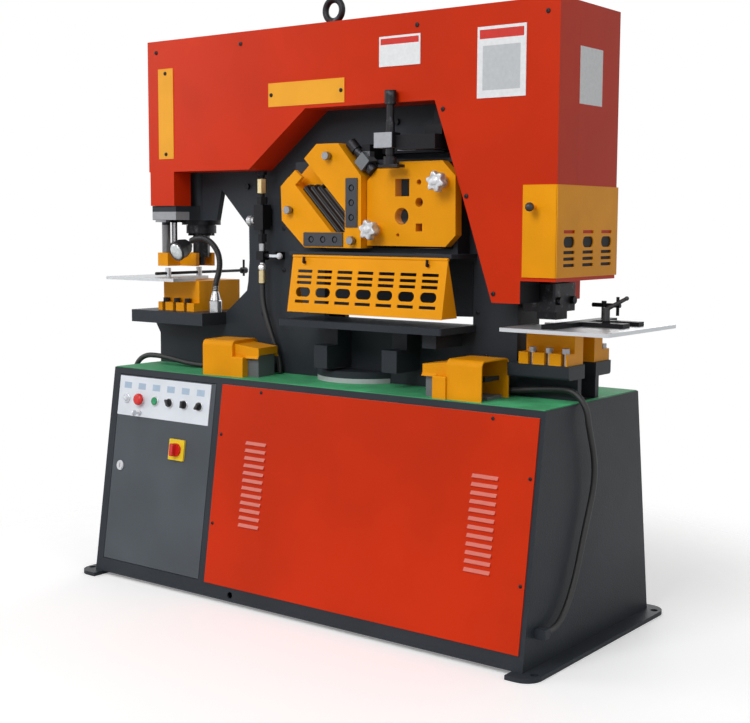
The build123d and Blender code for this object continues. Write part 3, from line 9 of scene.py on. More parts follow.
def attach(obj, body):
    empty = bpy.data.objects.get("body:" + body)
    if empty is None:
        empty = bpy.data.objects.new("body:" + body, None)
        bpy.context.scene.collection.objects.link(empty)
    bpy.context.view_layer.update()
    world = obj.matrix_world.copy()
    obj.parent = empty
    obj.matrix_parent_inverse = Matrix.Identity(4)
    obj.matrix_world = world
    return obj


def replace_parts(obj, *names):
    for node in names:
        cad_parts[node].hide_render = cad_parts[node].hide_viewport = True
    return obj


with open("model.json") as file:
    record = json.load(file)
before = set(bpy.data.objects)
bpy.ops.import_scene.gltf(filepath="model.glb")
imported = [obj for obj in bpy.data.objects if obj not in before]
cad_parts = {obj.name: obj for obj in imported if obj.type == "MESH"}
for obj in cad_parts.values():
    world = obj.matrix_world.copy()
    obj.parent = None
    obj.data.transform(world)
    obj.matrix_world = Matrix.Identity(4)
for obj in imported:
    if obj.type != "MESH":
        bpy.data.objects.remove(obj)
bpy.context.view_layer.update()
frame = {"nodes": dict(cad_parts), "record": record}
print("frame loaded:", len(frame["nodes"]), "nodes")

# Lengths below are in mm, in the frame of the CAD, and mm turns them into metres
mm = 0.001
coverHalf = 167.0
slopeLow = {"y": -362.0, "z": 12.0}
slopeRatio = 98.0 / 662.0
slopeAngle = math.atan(slopeRatio)


# Camera, in the photograph's place
view = {
    "place": (2.425035, -3.119415, 1.148475), "yaw": 37.126, "down": 6.122, "roll": 0.265, "lens": 61.934,
    "sensor": 36.0, "near": 0.05, "far": 60.0,
}


def makeCamera():
    data = bpy.data.cameras.new("camera")
    data.lens = view["lens"]
    data.sensor_width = view["sensor"]
    data.clip_start = view["near"]
    data.clip_end = view["far"]
    camera = bpy.data.objects.new("camera", data)
    bpy.context.scene.collection.objects.link(camera)
    turn = Matrix.Rotation(math.radians(view["yaw"]), 4, "Z")
    tilt = Matrix.Rotation(math.radians(90 - view["down"]), 4, "X")
    roll = Matrix.Rotation(math.radians(view["roll"]), 4, "Z")
    camera.matrix_world = Matrix.Translation(view["place"]) @ turn @ tilt @ roll
    bpy.context.scene.camera = camera


makeCamera()


# Shader maths on sockets
class Wire:
    # One socket of a node tree; the usual operators add Math nodes
    def __init__(self, recipe, socket):
        self.recipe = recipe
        self.socket = socket

    def maths(self, operation, other=None, swap=False):
        pair = [self] if other is None else [other, self] if swap else [self, other]
        return self.recipe.add("ShaderNodeMath", {"operation": operation}, dict(enumerate(pair)))

    def __add__(self, other): return self.maths("ADD", other)
    def __radd__(self, other): return self.maths("ADD", other, True)
    def __sub__(self, other): return self.maths("SUBTRACT", other)
    def __rsub__(self, other): return self.maths("SUBTRACT", other, True)
    def __mul__(self, other): return self.maths("MULTIPLY", other)
    def __rmul__(self, other): return self.maths("MULTIPLY", other, True)
    def __gt__(self, other): return self.maths("GREATER_THAN", other)
    def __lt__(self, other): return self.maths("LESS_THAN", other)

    def sine(self): return self.maths("SINE")


class Recipe:
    # One material and the short names for what its tree needs
    def __init__(self, name):
        self.material = bpy.data.materials.new(name)
        self.material.use_nodes = True
        self.tree = self.material.node_tree
        self.shader = self.tree.nodes["Principled BSDF"]
        self.place = self.add("ShaderNodeTexCoord", {}, {}, "Object")

    def add(self, kind, settings, inputs, output=0):
        node = self.tree.nodes.new(kind)
        for name, value in settings.items():
            setattr(node, name, value)
        for name, value in inputs.items():
            self.join(node.inputs[name], value)
        return Wire(self, node.outputs[output])

    def join(self, socket, value):
        if isinstance(value, Wire):
            self.tree.links.new(value.socket, socket)
        elif isinstance(value, tuple) and len(value) == 3 and socket.type == "RGBA":
            socket.default_value = value + (1,)
        else:
            socket.default_value = value

    def noise(self, scale, detail=2.0, rough=0.5, stretch=None):
        spot = self.place
        if stretch:
            spot = self.add("ShaderNodeMapping", {}, {"Vector": self.place, "Scale": stretch})
        facts = {"Vector": spot, "Scale": scale, "Detail": detail, "Roughness": rough}
        return self.add("ShaderNodeTexNoise", {}, facts)

    def fade(self, value, low, high):
        # 0 below low, 1 above high, smooth between
        return self.add("ShaderNodeMapRange", {"interpolation_type": "SMOOTHSTEP"},
                        {"Value": value, "From Min": low, "From Max": high})

    def blend(self, factor, first, second):
        return self.add("ShaderNodeMix", {"data_type": "RGBA"}, {"Factor": factor, 6: first, 7: second}, 2)

    def axes(self):
        node = self.add("ShaderNodeSeparateXYZ", {}, {"Vector": self.place})
        outs = node.socket.node.outputs
        return [Wire(self, outs[i]) for i in range(3)]

    def bump(self, height, distance):
        return self.add("ShaderNodeBump", {}, {"Height": height, "Distance": distance, "Strength": 1.0})

    def finish(self, **sockets):
        for name, value in sockets.items():
            self.join(self.shader.inputs[name.replace("_", " ")], value)
        return self.material


# Finishes
finishes = {
    "darkPaint": (0.030, 0.035, 0.042),
    "redPaint": (0.56, 0.027, 0.002),
    "doorPaint": (0.080, 0.092, 0.106),
    "orangePaint": (0.84, 0.33, 0.004),
    "whitePaint": (0.72, 0.76, 0.82),
    "matGreen": (0.055, 0.37, 0.155),
    "tableSteel": (0.56, 0.58, 0.60),
    "blackSteel": (0.018, 0.018, 0.021),
    "brightSteel": (0.62, 0.63, 0.65),
    "knobSilver": (0.54, 0.55, 0.57),
    "redPlastic": (0.62, 0.016, 0.014),
    "greenPlastic": (0.01, 0.26, 0.10),
    "blackPlastic": (0.016, 0.016, 0.018),
    "cableBlack": (0.014, 0.014, 0.015),
    "boltSteel": (0.26, 0.265, 0.28),
    "stripYellow": (0.85, 0.38, 0.03),
}


paintIor = 1.22
# near-black for black steel, and for painted shade
blackAndPaintedShade = (0.010, 0.010, 0.012)
# pale pink of the painted highlight on the louvre lips
lipHighlightPink = (0.86, 0.44, 0.38)
rubbedGrey = (0.10, 0.105, 0.115)
scuffGrey = (0.16, 0.16, 0.16)


def tint(colour, factor):
    return tuple(min(1.0, part * factor) for part in colour)


def enamel(name, colour, grain, depth, rough, dust=0.0):
    # Sprayed paint: fine orange peel, soft patches and thin scuffs, which a little dust makes show more
    mix = Recipe(name)
    patches = mix.fade(mix.noise(3.1, 3.0), 0.35, 0.7)
    base = mix.blend(patches, tint(colour, 0.90), tint(colour, 1.08))
    scuffs = mix.fade(mix.noise(9.0, 6.0, 0.75, (1.0, 1.0, 4.0)), 0.68, 0.80)
    base = mix.blend(scuffs * (0.18 + dust), base, tint(colour, 0.6) if sum(colour) > 0.4 else scuffGrey)
    shine = rough + 0.08 * mix.noise(14.0, 4.0) + scuffs * 0.12 - 0.04
    peel = mix.noise(grain, 2.0, 0.55)
    return mix.finish(Base_Color=base, Roughness=shine, Normal=mix.bump(peel, depth), IOR=paintIor)


def sheetPaint(name, colour, paintedShadeZones=(), upwardHighlight=0.0):
    # Enamel on sheet metal: fine peel, slow waves of the sheet, faint fingermarks; zones may be painted black as
    # painted
    #  shade, and lips that face upwards may get a paler painted highlight
    mix = Recipe(name)
    peel = mix.noise(320.0, 2.0)
    waves = mix.noise(2.2, 2.0)
    patches = mix.fade(mix.noise(2.4, 3.0), 0.3, 0.75)
    base = mix.blend(patches, tint(colour, 0.90), tint(colour, 1.10))
    speck = mix.fade(mix.noise(420.0, 2.0), 0.5, 0.8)
    base = mix.blend(speck * 0.14, base, tint(colour, 1.5))
    marks = mix.fade(mix.noise(11.0, 5.0, 0.7), 0.62, 0.8)
    shine = 0.33 + 0.08 * mix.noise(30.0, 3.0) + marks * 0.1
    # painted highlight: faces that point up are blended towards pale pink
    if upwardHighlight:
        normal = mix.add("ShaderNodeNewGeometry", {}, {}, "Normal")
        upwards = mix.add("ShaderNodeSeparateXYZ", {}, {"Vector": normal}, 2)
        base = mix.blend(mix.fade(upwards, 0.2, 0.55) * upwardHighlight, base, lipHighlightPink)
    # painted shade: each zone is painted near-black
    for zone in paintedShadeZones:
        mask = within(mix, zone)
        base = mix.blend(mask, base, blackAndPaintedShade)
        shine = shine + mask * 0.15
    return mix.finish(Base_Color=base, Roughness=shine, Normal=mix.bump(peel * 0.12 + waves * 2.0, 0.0006),
                      IOR=paintIor)


def ground(name, colour, stretch, rough, metallic=1.0):
    # Machined steel: long brush lines, a few darker handling marks
    mix = Recipe(name)
    lines = mix.noise(60.0, 3.0, 0.6, stretch)
    marks = mix.fade(mix.noise(6.0, 5.0, 0.7), 0.55, 0.8)
    base = mix.blend(lines, tint(colour, 0.82), tint(colour, 1.12))
    base = mix.blend(marks * 0.35, base, tint(colour, 0.55))
    return mix.finish(Base_Color=base, Roughness=rough + lines * 0.14 + marks * 0.08, Metallic=metallic,
                      Normal=mix.bump(lines, 0.0002))


def oxide(name, colour, rough=0.36):
    # Oiled black steel: faint bluish patches and brighter rubbed grain
    mix = Recipe(name)
    rub = mix.fade(mix.noise(38.0, 5.0, 0.7), 0.52, 0.78)
    base = mix.blend(rub, colour, rubbedGrey)
    film = mix.noise(7.0, 3.0)
    return mix.finish(Base_Color=base, Roughness=rough + film * 0.2 - rub * 0.06, Metallic=0.75,
                      Normal=mix.bump(mix.noise(160.0, 3.0), 0.0003))


def moulded(name, colour, rough, grain=500.0):
    # Moulded plastic: fine pebble and a slow change of gloss
    mix = Recipe(name)
    pebble = mix.noise(grain, 2.0)
    base = mix.blend(mix.noise(8.0, 3.0), tint(colour, 0.85), tint(colour, 1.15))
    return mix.finish(Base_Color=base, Roughness=rough + 0.1 * mix.noise(20.0, 3.0),
                      Normal=mix.bump(pebble, 0.0002))


def ribbedMat(name, colour):
    # Rubber mat: fine ribs along its length, dusty patches
    mix = Recipe(name)
    x, y, z = mix.axes()
    ribs = (y * 1250.0).sine()
    dust = mix.fade(mix.noise(5.0, 5.0, 0.65), 0.42, 0.75)
    base = mix.blend(dust, tint(colour, 0.8), tint(colour, 1.45))
    return mix.finish(Base_Color=base, Roughness=0.62 + dust * 0.15,
                      Normal=mix.bump(ribs * 0.5 + mix.noise(300.0), 0.0006))


def castSilver(name, colour):
    # Tumbled die casting: soft grain, darker in patches
    mix = Recipe(name)
    grime = mix.fade(mix.noise(60.0, 4.0), 0.4, 0.8)
    base = mix.blend(grime, tint(colour, 1.05), tint(colour, 0.6))
    return mix.finish(Base_Color=base, Roughness=0.38 + grime * 0.2, Metallic=0.55,
                      Normal=mix.bump(mix.noise(260.0, 3.0), 0.0003))


def within(mix, box):
    # 1 inside a box given as x, y, z limits in mm, with None for an open side
    mask = None
    for wire, (low, high) in zip(mix.axes(), box):
        for limit, above in ((low, True), (high, False)):
            if limit is not None:
                test = wire > limit * mm if above else wire < limit * mm
                mask = test if mask is None else mask * test
    return mask


def zoned(name, plain, zones, grain=200.0, depth=0.0003):
    # One node in several finishes: each zone is a box with its own colour, roughness and metal
    mix = Recipe(name)
    soft = mix.noise(7.0, 4.0)
    fine = mix.noise(90.0, 3.0)
    colour, rough, metal = plain
    base = mix.blend(soft, tint(colour, 0.86), tint(colour, 1.12))
    rough = rough + 0.12 * fine
    for box, (shade, smooth, share) in zones:
        mask = within(mix, box)
        base = mix.blend(mask, base, mix.blend(fine, tint(shade, 0.88), tint(shade, 1.1)))
        rough = rough + mask * (smooth - rough)
        metal = metal + mask * (share - metal)
    return mix.finish(Base_Color=base, Roughness=rough, Metallic=metal, Normal=mix.bump(mix.noise(grain), depth),
                      IOR=paintIor)


def ridged(name, low, high, pitch):
    # Ridges that run down to the right at 45 degrees, with a painted highlight on their crests
    mix = Recipe(name)
    x, y, z = mix.axes()
    wave = ((x + z) * (2 * math.pi / (pitch * mm * math.sqrt(2)))).sine()
    # painted highlight: the crests are blended towards the paler colour
    crestHighlight = mix.fade(wave + 0.5 * mix.noise(30.0, 3.0), 0.5, 1.3)
    base = mix.blend(crestHighlight, low, high)
    return mix.finish(Base_Color=base, Roughness=0.34 + 0.15 * mix.noise(40.0, 3.0), Metallic=0.4,
                      Normal=mix.bump(wave, 0.004))


def lens(name):
    # Frosted glass with a painted reflection of a bright reflector: pale and dark pebbles, with a clear coat on top
    mix = Recipe(name)
    pebbles = mix.noise(140.0, 2.0)
    # painted reflection: pale and dark pebbles in the base colour
    base = mix.blend(pebbles, (0.34, 0.37, 0.38), (0.86, 0.90, 0.90))
    return mix.finish(Base_Color=base, Roughness=0.08 + pebbles * 0.12, Metallic=0.55, Coat_Weight=0.9,
                      Normal=mix.bump(pebbles, 0.0012))


looks = {
    "darkPaint": enamel("dark_enamel", finishes["darkPaint"], 240.0, 0.0006, 0.40, 0.05),
    "redPaint": sheetPaint("red_enamel", finishes["redPaint"]),
    "doorPaint": enamel("door_enamel", finishes["doorPaint"], 300.0, 0.0005, 0.42, 0.02),
    "orangePaint": enamel("orange_enamel", finishes["orangePaint"], 180.0, 0.0006, 0.34),
    "whitePaint": enamel("white_enamel", finishes["whitePaint"], 300.0, 0.0003, 0.35),
    "matGreen": ribbedMat("green_mat", finishes["matGreen"]),
    "tableSteel": ground("table_steel", finishes["tableSteel"], (1.0, 26.0, 26.0), 0.30, 0.75),
    "blackSteel": oxide("black_steel", finishes["blackSteel"]),
    "brightSteel": ground("bright_steel", finishes["brightSteel"], (8.0, 8.0, 40.0), 0.22),
    "knobSilver": castSilver("cast_silver", finishes["knobSilver"]),
    "redPlastic": moulded("red_plastic", finishes["redPlastic"], 0.22),
    "greenPlastic": moulded("green_plastic", finishes["greenPlastic"], 0.22),
    "blackPlastic": moulded("black_plastic", finishes["blackPlastic"], 0.38),
    "cableBlack": moulded("cable_rubber", finishes["cableBlack"], 0.48, 700.0),
    "boltSteel": ground("bolt_grey", finishes["boltSteel"], (10.0, 10.0, 10.0), 0.34),
    "stripYellow": enamel("strip_yellow", finishes["stripYellow"], 260.0, 0.0003, 0.38),
    "lampGlass": lens("lamp_glass_look"),
}

# painted shade zones: the cover's end behind the notch guard's holes, and the front beside the notching head
coverShadeZones = [((775, None), (-145, 145), (1026, 1119)), ((660, 755), (-164.5, -16), (932, 1002))]
switchFields = [((-755 + 66 * index, -721 + 66 * index), (None, None), (610, 630)) for index in range(6)]
white, blackFilm, steel = (0.78, 0.79, 0.80), (0.018, 0.018, 0.021), (0.55, 0.56, 0.58)
labelRed, labelGrey, labelBlue = (0.62, 0.05, 0.04), (0.52, 0.54, 0.56), (0.42, 0.53, 0.66)
# the slide's paler crest colour is a painted highlight
slideDark, slideCrestHighlight, slidePitch = (0.006, 0.006, 0.008), (0.045, 0.047, 0.05), 19.0
anyWay = (None, None)
nodeLooks = {
    # hold-down arm: black with a light nut block and a light square block on the slope
    "hold_down": zoned("hold_down_steel", (blackFilm, 0.40, 0.6), [
        (((209, 273), anyWay, (1356, 1402)), ((0.36, 0.37, 0.40), 0.34, 0.5)),
        (((112, 170), (None, -128), (1295, 1353)), ((0.16, 0.17, 0.18), 0.38, 0.5)),
    ]),
    # valve line: brass nuts and a bright ball between black fittings
    "valve_line": zoned("valve_fittings", (blackFilm, 0.38, 0.5), [
        ((anyWay, anyWay, (1239, 1284)), ((0.60, 0.50, 0.28), 0.30, 0.9)),
        ((anyWay, anyWay, (959, 999)), ((0.62, 0.52, 0.30), 0.30, 0.9)),
        (((-330, -294), anyWay, (999, 1023)), ((0.80, 0.80, 0.80), 0.20, 0.8)),
        ((anyWay, anyWay, (1060, 1083)), ((0.40, 0.41, 0.43), 0.30, 0.9)),
    ]),
    # bare plates: two yellow strips, white plates with plain colour bands
    "name_plates": zoned("bare_plates", (finishes["stripYellow"], 0.38, 0.0), [
        (((190, None), anyWay, anyWay), (white, 0.35, 0.0)),
        (((206, 337), anyWay, (1644, 1661)), (labelRed, 0.35, 0.0)),
        (((535, 671), anyWay, (1634, 1658)), (labelRed, 0.35, 0.0)),
        (((545, 661), anyWay, (1500, 1616)), (labelGrey, 0.35, 0.0)),
    ], 260.0, 0.0002),
    # control plate: white with a pale blue field over each switch, and the isolator's yellow square
    "switch_plates": zoned("switch_face", ((0.74, 0.78, 0.84), 0.34, 0.0), [
        ((anyWay, anyWay, (None, 480)), ((0.85, 0.60, 0.03), 0.30, 0.0)),
    ] + [(field, (labelBlue, 0.34, 0.0)) for field in switchFields], 260.0, 0.0002),
    "lamp_arm": zoned("lamp_neck_and_base", (blackFilm, 0.42, 0.2), [
        ((anyWay, anyWay, (None, 942)), (steel, 0.25, 0.9)),
    ]),
    # the cover's end is painted dark as painted shade behind the notch guard's holes, and painted black beside the
    # notching head as the shade of an open front with a black ram in it
    "cover_front": sheetPaint("red_enamel_front", finishes["redPaint"], coverShadeZones),
    "cover_rear": sheetPaint("red_enamel_rear", finishes["redPaint"], coverShadeZones),
    # the louvre lips that face up get a painted highlight
    "louvred_panel": sheetPaint("red_enamel_panel", finishes["redPaint"], (), 0.4),
    "angle_slide": ridged("slide_steel", slideDark, slideCrestHighlight, slidePitch),
    "clamp_bolts": zoned("bolt_steel", (blackFilm, 0.34, 0.5), [
        (((600, None), anyWay, (None, 860)), ((0.30, 0.30, 0.32), 0.30, 0.8)),
    ]),
    "fence": zoned("gauge_steel", (blackAndPaintedShade, 0.36, 0.3), []),
    "pedal_bases": zoned("pedal_base_enamel", ((0.16, 0.17, 0.18), 0.40, 0.1), []),
    # punch head: pale front of the column bar, grey columns and bright lift rods
    "ram_guide": zoned("punch_head", (finishes["darkPaint"], 0.40, 0.0), [
        ((anyWay, (None, -99.5), (1146, 1182)), ((0.33, 0.34, 0.36), 0.40, 0.1)),
        ((anyWay, anyWay, (None, 1139)), ((0.20, 0.20, 0.21), 0.34, 0.5)),
        ((anyWay, (-63, 63), (None, 1147)), ((0.50, 0.50, 0.52), 0.25, 0.8)),
        (((-735.5, None), anyWay, (None, 1156)), (blackFilm, 0.4, 0.4)),
    ]),
    "frame_front": zoned("frame_enamel", (finishes["darkPaint"], 0.40, 0.0), [
        ((anyWay, (None, -62), (None, 690)), ((0.50, 0.51, 0.53), 0.34, 0.3)),
    ]),
    "shear_guard": zoned("guard_enamel", (finishes["orangePaint"], 0.34, 0.0), [
        (((-58, -30), (None, -202.6), (1018, None)), (blackFilm, 0.35, 0.3)),
        (((384, 412), (None, -202.6), (1018, None)), (blackFilm, 0.35, 0.3)),
    ]),
    "notch_guard": zoned("notch_guard_enamel", (finishes["orangePaint"], 0.34, 0.0), [
        ((anyWay, (None, -185), (1170, 1212)), (blackFilm, 0.2, 0.0)),
    ]),
    "valve_knob": looks["knobSilver"],
    "angle_blades": zoned("blade_steel", ((0.06, 0.062, 0.07), 0.34, 0.8), []),
    "power_pack": enamel("motor_enamel", (0.10, 0.14, 0.20), 200.0, 0.0005, 0.4),
}
print("materials made:", len(looks) + len(nodeLooks))

slotLooks = {
    "dark_paint": "darkPaint", "red_paint": "redPaint", "door_paint": "doorPaint", "orange_paint": "orangePaint",
    "white_paint": "whitePaint", "strip_yellow": "stripYellow", "mat_green": "matGreen",
    "table_steel": "tableSteel", "black_steel": "blackSteel", "bright_steel": "brightSteel",
    "knob_silver": "knobSilver", "red_plastic": "redPlastic", "green_plastic": "greenPlastic",
    "black_plastic": "blackPlastic", "lamp_body": "knobSilver", "neck_black": "blackPlastic",
    "cable_black": "cableBlack", "fitting_black": "blackSteel",
}


def dressNodes():
    for entry in frame["record"]["subparts"]:
        node = frame["nodes"][entry["node"]]
        look = nodeLooks.get(entry["node"], looks[slotLooks[entry["material_slot"]]])
        node.data.materials.clear()
        node.data.materials.append(look)


dressNodes()
print("nodes dressed")


front, rightWay, backWay = (0, -1, 0), (1, 0, 0), (0, 1, 0)


# Surfaces from arrays
def meshOf(name, points, faces, look, body, smooth=True):
    data = bpy.data.meshes.new(name)
    data.from_pydata(points.reshape(-1, 3).tolist(), [], faces)
    data.materials.append(looks[look])
    data.polygons.foreach_set("use_smooth", np.full(len(data.polygons), smooth))
    data.update()
    piece = bpy.data.objects.new(name, data)
    bpy.context.scene.collection.objects.link(piece)
    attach(piece, body)
    return piece


def gridFaces(rows, columns):
    # Quads of a grid of rows by columns, closed round the columns; both ends are left to the caller
    row, column = np.meshgrid(np.arange(rows - 1) * columns, np.arange(columns), indexing="ij")
    after = (column + 1) % columns
    quads = np.stack([row + column, row + after, row + columns + after, row + columns + column], -1)
    return quads.reshape(-1, 4)


def turned(profile, sides):
    # Points of a profile (radius, height) carried round the local Z axis, with a flat face at each end
    profile = np.array(profile, float)
    angle = np.linspace(0, 2 * np.pi, sides, endpoint=False)
    radius, height = profile[:, :1], np.broadcast_to(profile[:, 1:], (len(profile), sides))
    points = np.stack([radius * np.cos(angle), radius * np.sin(angle), height], -1)
    faces = gridFaces(len(profile), sides).tolist()
    faces.append(list(range(sides))[::-1])
    faces.append([(len(profile) - 1) * sides + i for i in range(sides)])
    return points.reshape(-1, 3), faces


def placed(points, origin, out):
    # Local points (x right, y up, z out) set on a face at origin, in mm
    out = np.array(out, float) / np.linalg.norm(out)
    right = np.cross(np.array((0, 0, 1), float), out)
    right /= np.linalg.norm(right)
    above = np.cross(out, right)
    return (np.array(origin, float) + points @ np.stack([right, above, out])) * mm


def joined(parts):
    # Several (points, faces) lists as one
    points, faces, start = [], [], 0
    for part, quads in parts:
        points.append(part)
        faces += [[i + start for i in quad] for quad in quads]
        start += len(part)
    return np.concatenate(points), faces


# The cabinet's sloped front: y grows by the slope's ratio for every mm of height
def slopeY(z):
    return slopeLow["y"] + slopeRatio * (z - slopeLow["z"])


slopeOut = (0, -math.cos(slopeAngle), math.sin(slopeAngle))


def onSlope(x, z):
    return (x, slopeY(z), z)


# Floor, backdrop and light, in metres: the floor fades out between two squared distances from the middle
stage = {
    "half": 14.0, "drop": -0.0005, "fadeFrom": 0.9, "fadeTo": 3.4, "rough": 0.7, "light": 0.34,
    "low": (0.90, 0.90, 0.90), "high": (0.95, 0.95, 0.95), "lift": (0.24, 0.24, 0.24), "grain": (1.5, 3.0),
    "white": (1, 1, 1, 1),
}


def makeFloor():
    mix = Recipe("pale_floor")
    x, y, z = mix.axes()
    near = 1.0 - mix.fade(x * x + y * y, stage["fadeFrom"], stage["fadeTo"])
    seen = mix.add("ShaderNodeLightPath", {}, {}, "Is Camera Ray")
    base = mix.blend(mix.noise(*stage["grain"]), stage["low"], stage["high"])
    mix.finish(Base_Color=base, Roughness=stage["rough"], Alpha=near,
               Emission_Color=mix.blend(seen, (0.0, 0.0, 0.0), stage["lift"]), Emission_Strength=1.0)
    data = bpy.data.meshes.new("floor")
    half = stage["half"]
    corners = [(-half, -half, 0), (half, -half, 0), (half, half, 0), (-half, half, 0)]
    data.from_pydata(corners, [], [(0, 1, 2, 3)])
    data.materials.append(mix.material)
    floor = bpy.data.objects.new("floor", data)
    floor.location.z = stage["drop"]
    bpy.context.scene.collection.objects.link(floor)


def makeBackdrop():
    # White for the rays of the camera, gloss and glass, and a plain low light for the rest
    world = bpy.data.worlds.new("studio")
    bpy.context.scene.world = world
    world.use_nodes = True
    nodes, links = world.node_tree.nodes, world.node_tree.links
    plain = nodes["Background"]
    plain.inputs["Color"].default_value = stage["white"]
    plain.inputs["Strength"].default_value = stage["light"]
    backdrop = nodes.new("ShaderNodeBackground")
    backdrop.inputs["Color"].default_value = stage["white"]
    backdrop.inputs["Strength"].default_value = 1.0
    rays = nodes.new("ShaderNodeLightPath")
    either = nodes.new("ShaderNodeMath")
    either.operation = "MAXIMUM"
    both = nodes.new("ShaderNodeMath")
    both.operation = "MAXIMUM"
    pick = nodes.new("ShaderNodeMixShader")
    links.new(rays.outputs["Is Camera Ray"], either.inputs[0])
    links.new(rays.outputs["Is Glossy Ray"], either.inputs[1])
    links.new(either.outputs[0], both.inputs[0])
    links.new(rays.outputs["Is Transmission Ray"], both.inputs[1])
    links.new(both.outputs[0], pick.inputs[0])
    links.new(plain.outputs[0], pick.inputs[1])
    links.new(backdrop.outputs[0], pick.inputs[2])
    links.new(pick.outputs[0], nodes["World Output"].inputs["Surface"])


lamps = {
    "key": {"place": (0.2, -4.4, 4.0), "size": 2.6, "power": 160.0},
    "right": {"place": (4.6, -1.2, 2.6), "size": 2.4, "power": 20.0},
    "left": {"place": (-4.4, -2.6, 2.6), "size": 2.4, "power": 50.0},
    "back": {"place": (-1.0, 4.4, 3.6), "size": 3.0, "power": 60.0},
}
lampAim = Vector((0, 0, 0.9))


def makeLamps():
    for name, lamp in lamps.items():
        data = bpy.data.lights.new(name, "AREA")
        data.size = lamp["size"]
        data.energy = lamp["power"]
        light = bpy.data.objects.new(name, data)
        light.location = lamp["place"]
        aim = lampAim - Vector(lamp["place"])
        light.rotation_euler = aim.to_track_quat("-Z", "Y").to_euler()
        bpy.context.scene.collection.objects.link(light)


makeFloor()
makeBackdrop()
makeLamps()
bpy.context.scene.view_settings.view_transform = "Standard"
print("stage and lamps made")


# Cords: the routes of the two pedal cables and the hose, in metres
cords = {
    "pedal_cable_right": {
        "node": "cable_right", "size": 17.0, "length": 1.002, "stiffness": "medium", "lay": "loose",
        "route": [
            (516, -91, 691), (558, -91, 691), (608, -85, 693), (658, -80, 699), (706, -79, 704), (746, -80, 707),
            (784, -84, 707), (815, -88, 689), (834, -88, 658), (837, -84, 622), (838, -70, 583), (838, -53, 540),
            (837, -42, 492), (835, -44, 442), (832, -58, 391), (831, -78, 340), (831, -99, 288), (831, -118, 238),
            (831, -141, 192), (831, -168, 151), (831, -200, 120), (831, -237, 103), (831, -275, 103),
        ],
    },
    "pedal_cable_left": {
        "node": "cable_left", "size": 17.0, "length": 1.173, "stiffness": "medium", "lay": "loose",
        "route": [
            (-354.004, -80.022, 691), (-393.615, -85.589, 691), (-444, -97, 688), (-495, -113, 686),
            (-545, -127, 686), (-596, -135, 689), (-646, -139, 696), (-695, -141, 703), (-742, -144, 707),
            (-784, -149, 706), (-815, -154, 689), (-834, -156, 658), (-837, -151, 622), (-838, -136, 583),
            (-838, -115, 541), (-837, -95, 495), (-835, -79, 446), (-833, -73, 394), (-831, -81, 340),
            (-831, -99, 288), (-831, -118, 238), (-831, -141, 192), (-831, -168, 151), (-831, -200, 120),
            (-831, -237, 103), (-831, -275, 103),
        ],
    },
    "oil_hose": {
        "node": "hose", "size": 16.0, "length": 0.285, "stiffness": "medium", "lay": "hanging",
        "route": [
            (-312, -92, 955), (-312, -92, 918), (-306, -92, 882), (-294, -92, 846), (-281, -90, 809),
            (-268, -87, 772), (-256, -83, 736), (-250, -80, 704), (-250, -80, 680),
        ],
    },
}
cordForm = {"order": 3, "steps": 10, "round": 6}


def makeCord(name, facts):
    data = bpy.data.curves.new(name, "CURVE")
    data.dimensions = "3D"
    data.bevel_depth = facts["size"] / 2 * mm
    data.bevel_resolution = cordForm["round"]
    data.resolution_u = cordForm["steps"]
    data.use_fill_caps = True
    spline = data.splines.new("NURBS")
    route = np.array(facts["route"], float) * mm
    spline.points.add(len(route) - 1)
    spline.points.foreach_set("co", np.column_stack([route, np.ones(len(route))]).ravel())
    spline.order_u = cordForm["order"]
    spline.use_endpoint_u = True
    data.materials.append(looks["cableBlack"])
    piece = bpy.data.objects.new(name, data)
    bpy.context.scene.collection.objects.link(piece)
    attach(piece, "machine")
    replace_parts(piece, facts["node"])


for cordName, cordFacts in cords.items():
    makeCord(cordName, cordFacts)
print("cords made")


# Work lamp: profiles (radius, height) turned round the lamp's axis, with a rim, cooling ribs and a domed glass
workLamp = {
    "centre": (-630.0, -158.0, 1053.0), "axis": (0.06, 0.93, 0.36), "sides": 48,
    "rim": [(27.5, 2.6), (28.0, -0.6), (30.6, -1.0), (32.4, 0.4), (32.6, 5.0), (31.2, 7.5), (31.0, 24.0)],
    "count": 10, "radius": 30.5, "taper": 0.9, "depth": 1.6, "first": 26.0, "pitch": 2.6,
    "tail": [(18.0, 53.0), (14.0, 57.0), (13.4, 62.0), (9.0, 66.0), (0.5, 67.0)],
    "glass": [(27.6, -3.0), (27.6, -1.2), (24.0, 1.4), (18.0, 3.4), (10.0, 4.8), (0.5, 5.4)],
}


def makeLampHead():
    ribs = []
    for step in range(workLamp["count"]):
        radius = workLamp["radius"] - step * workLamp["taper"] + workLamp["depth"] * (step % 2)
        ribs.append((radius, workLamp["first"] + step * workLamp["pitch"]))
    points, faces = turned(workLamp["rim"] + ribs + workLamp["tail"], workLamp["sides"])
    back = placed(points, workLamp["centre"], workLamp["axis"])
    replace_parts(meshOf("lamp_shell", back, faces, "blackPlastic", "machine"), "lamp_head")
    points, faces = turned(workLamp["glass"], workLamp["sides"])
    out = tuple(-part for part in workLamp["axis"])
    meshOf("lamp_glass", placed(points, workLamp["centre"], out), faces, "lampGlass", "machine")


makeLampHead()
print("work lamp made")


# Flexible neck: quadratic arcs between the middles of the route's runs; radius = base + rise * cos(turn of the rib)
neck = {
    "radius": 9.35, "rise": 0.55, "rib": 5.2, "step": 0.65, "sides": 20, "arcPoints": 40,
    "route": [
        (-525, -85, 924), (-522, -85, 955), (-508, -86, 985), (-499, -89, 1018), (-501, -95, 1052),
        (-518, -104, 1082), (-547, -111, 1098), (-580, -114, 1097), (-607, -110, 1088),
    ],
}


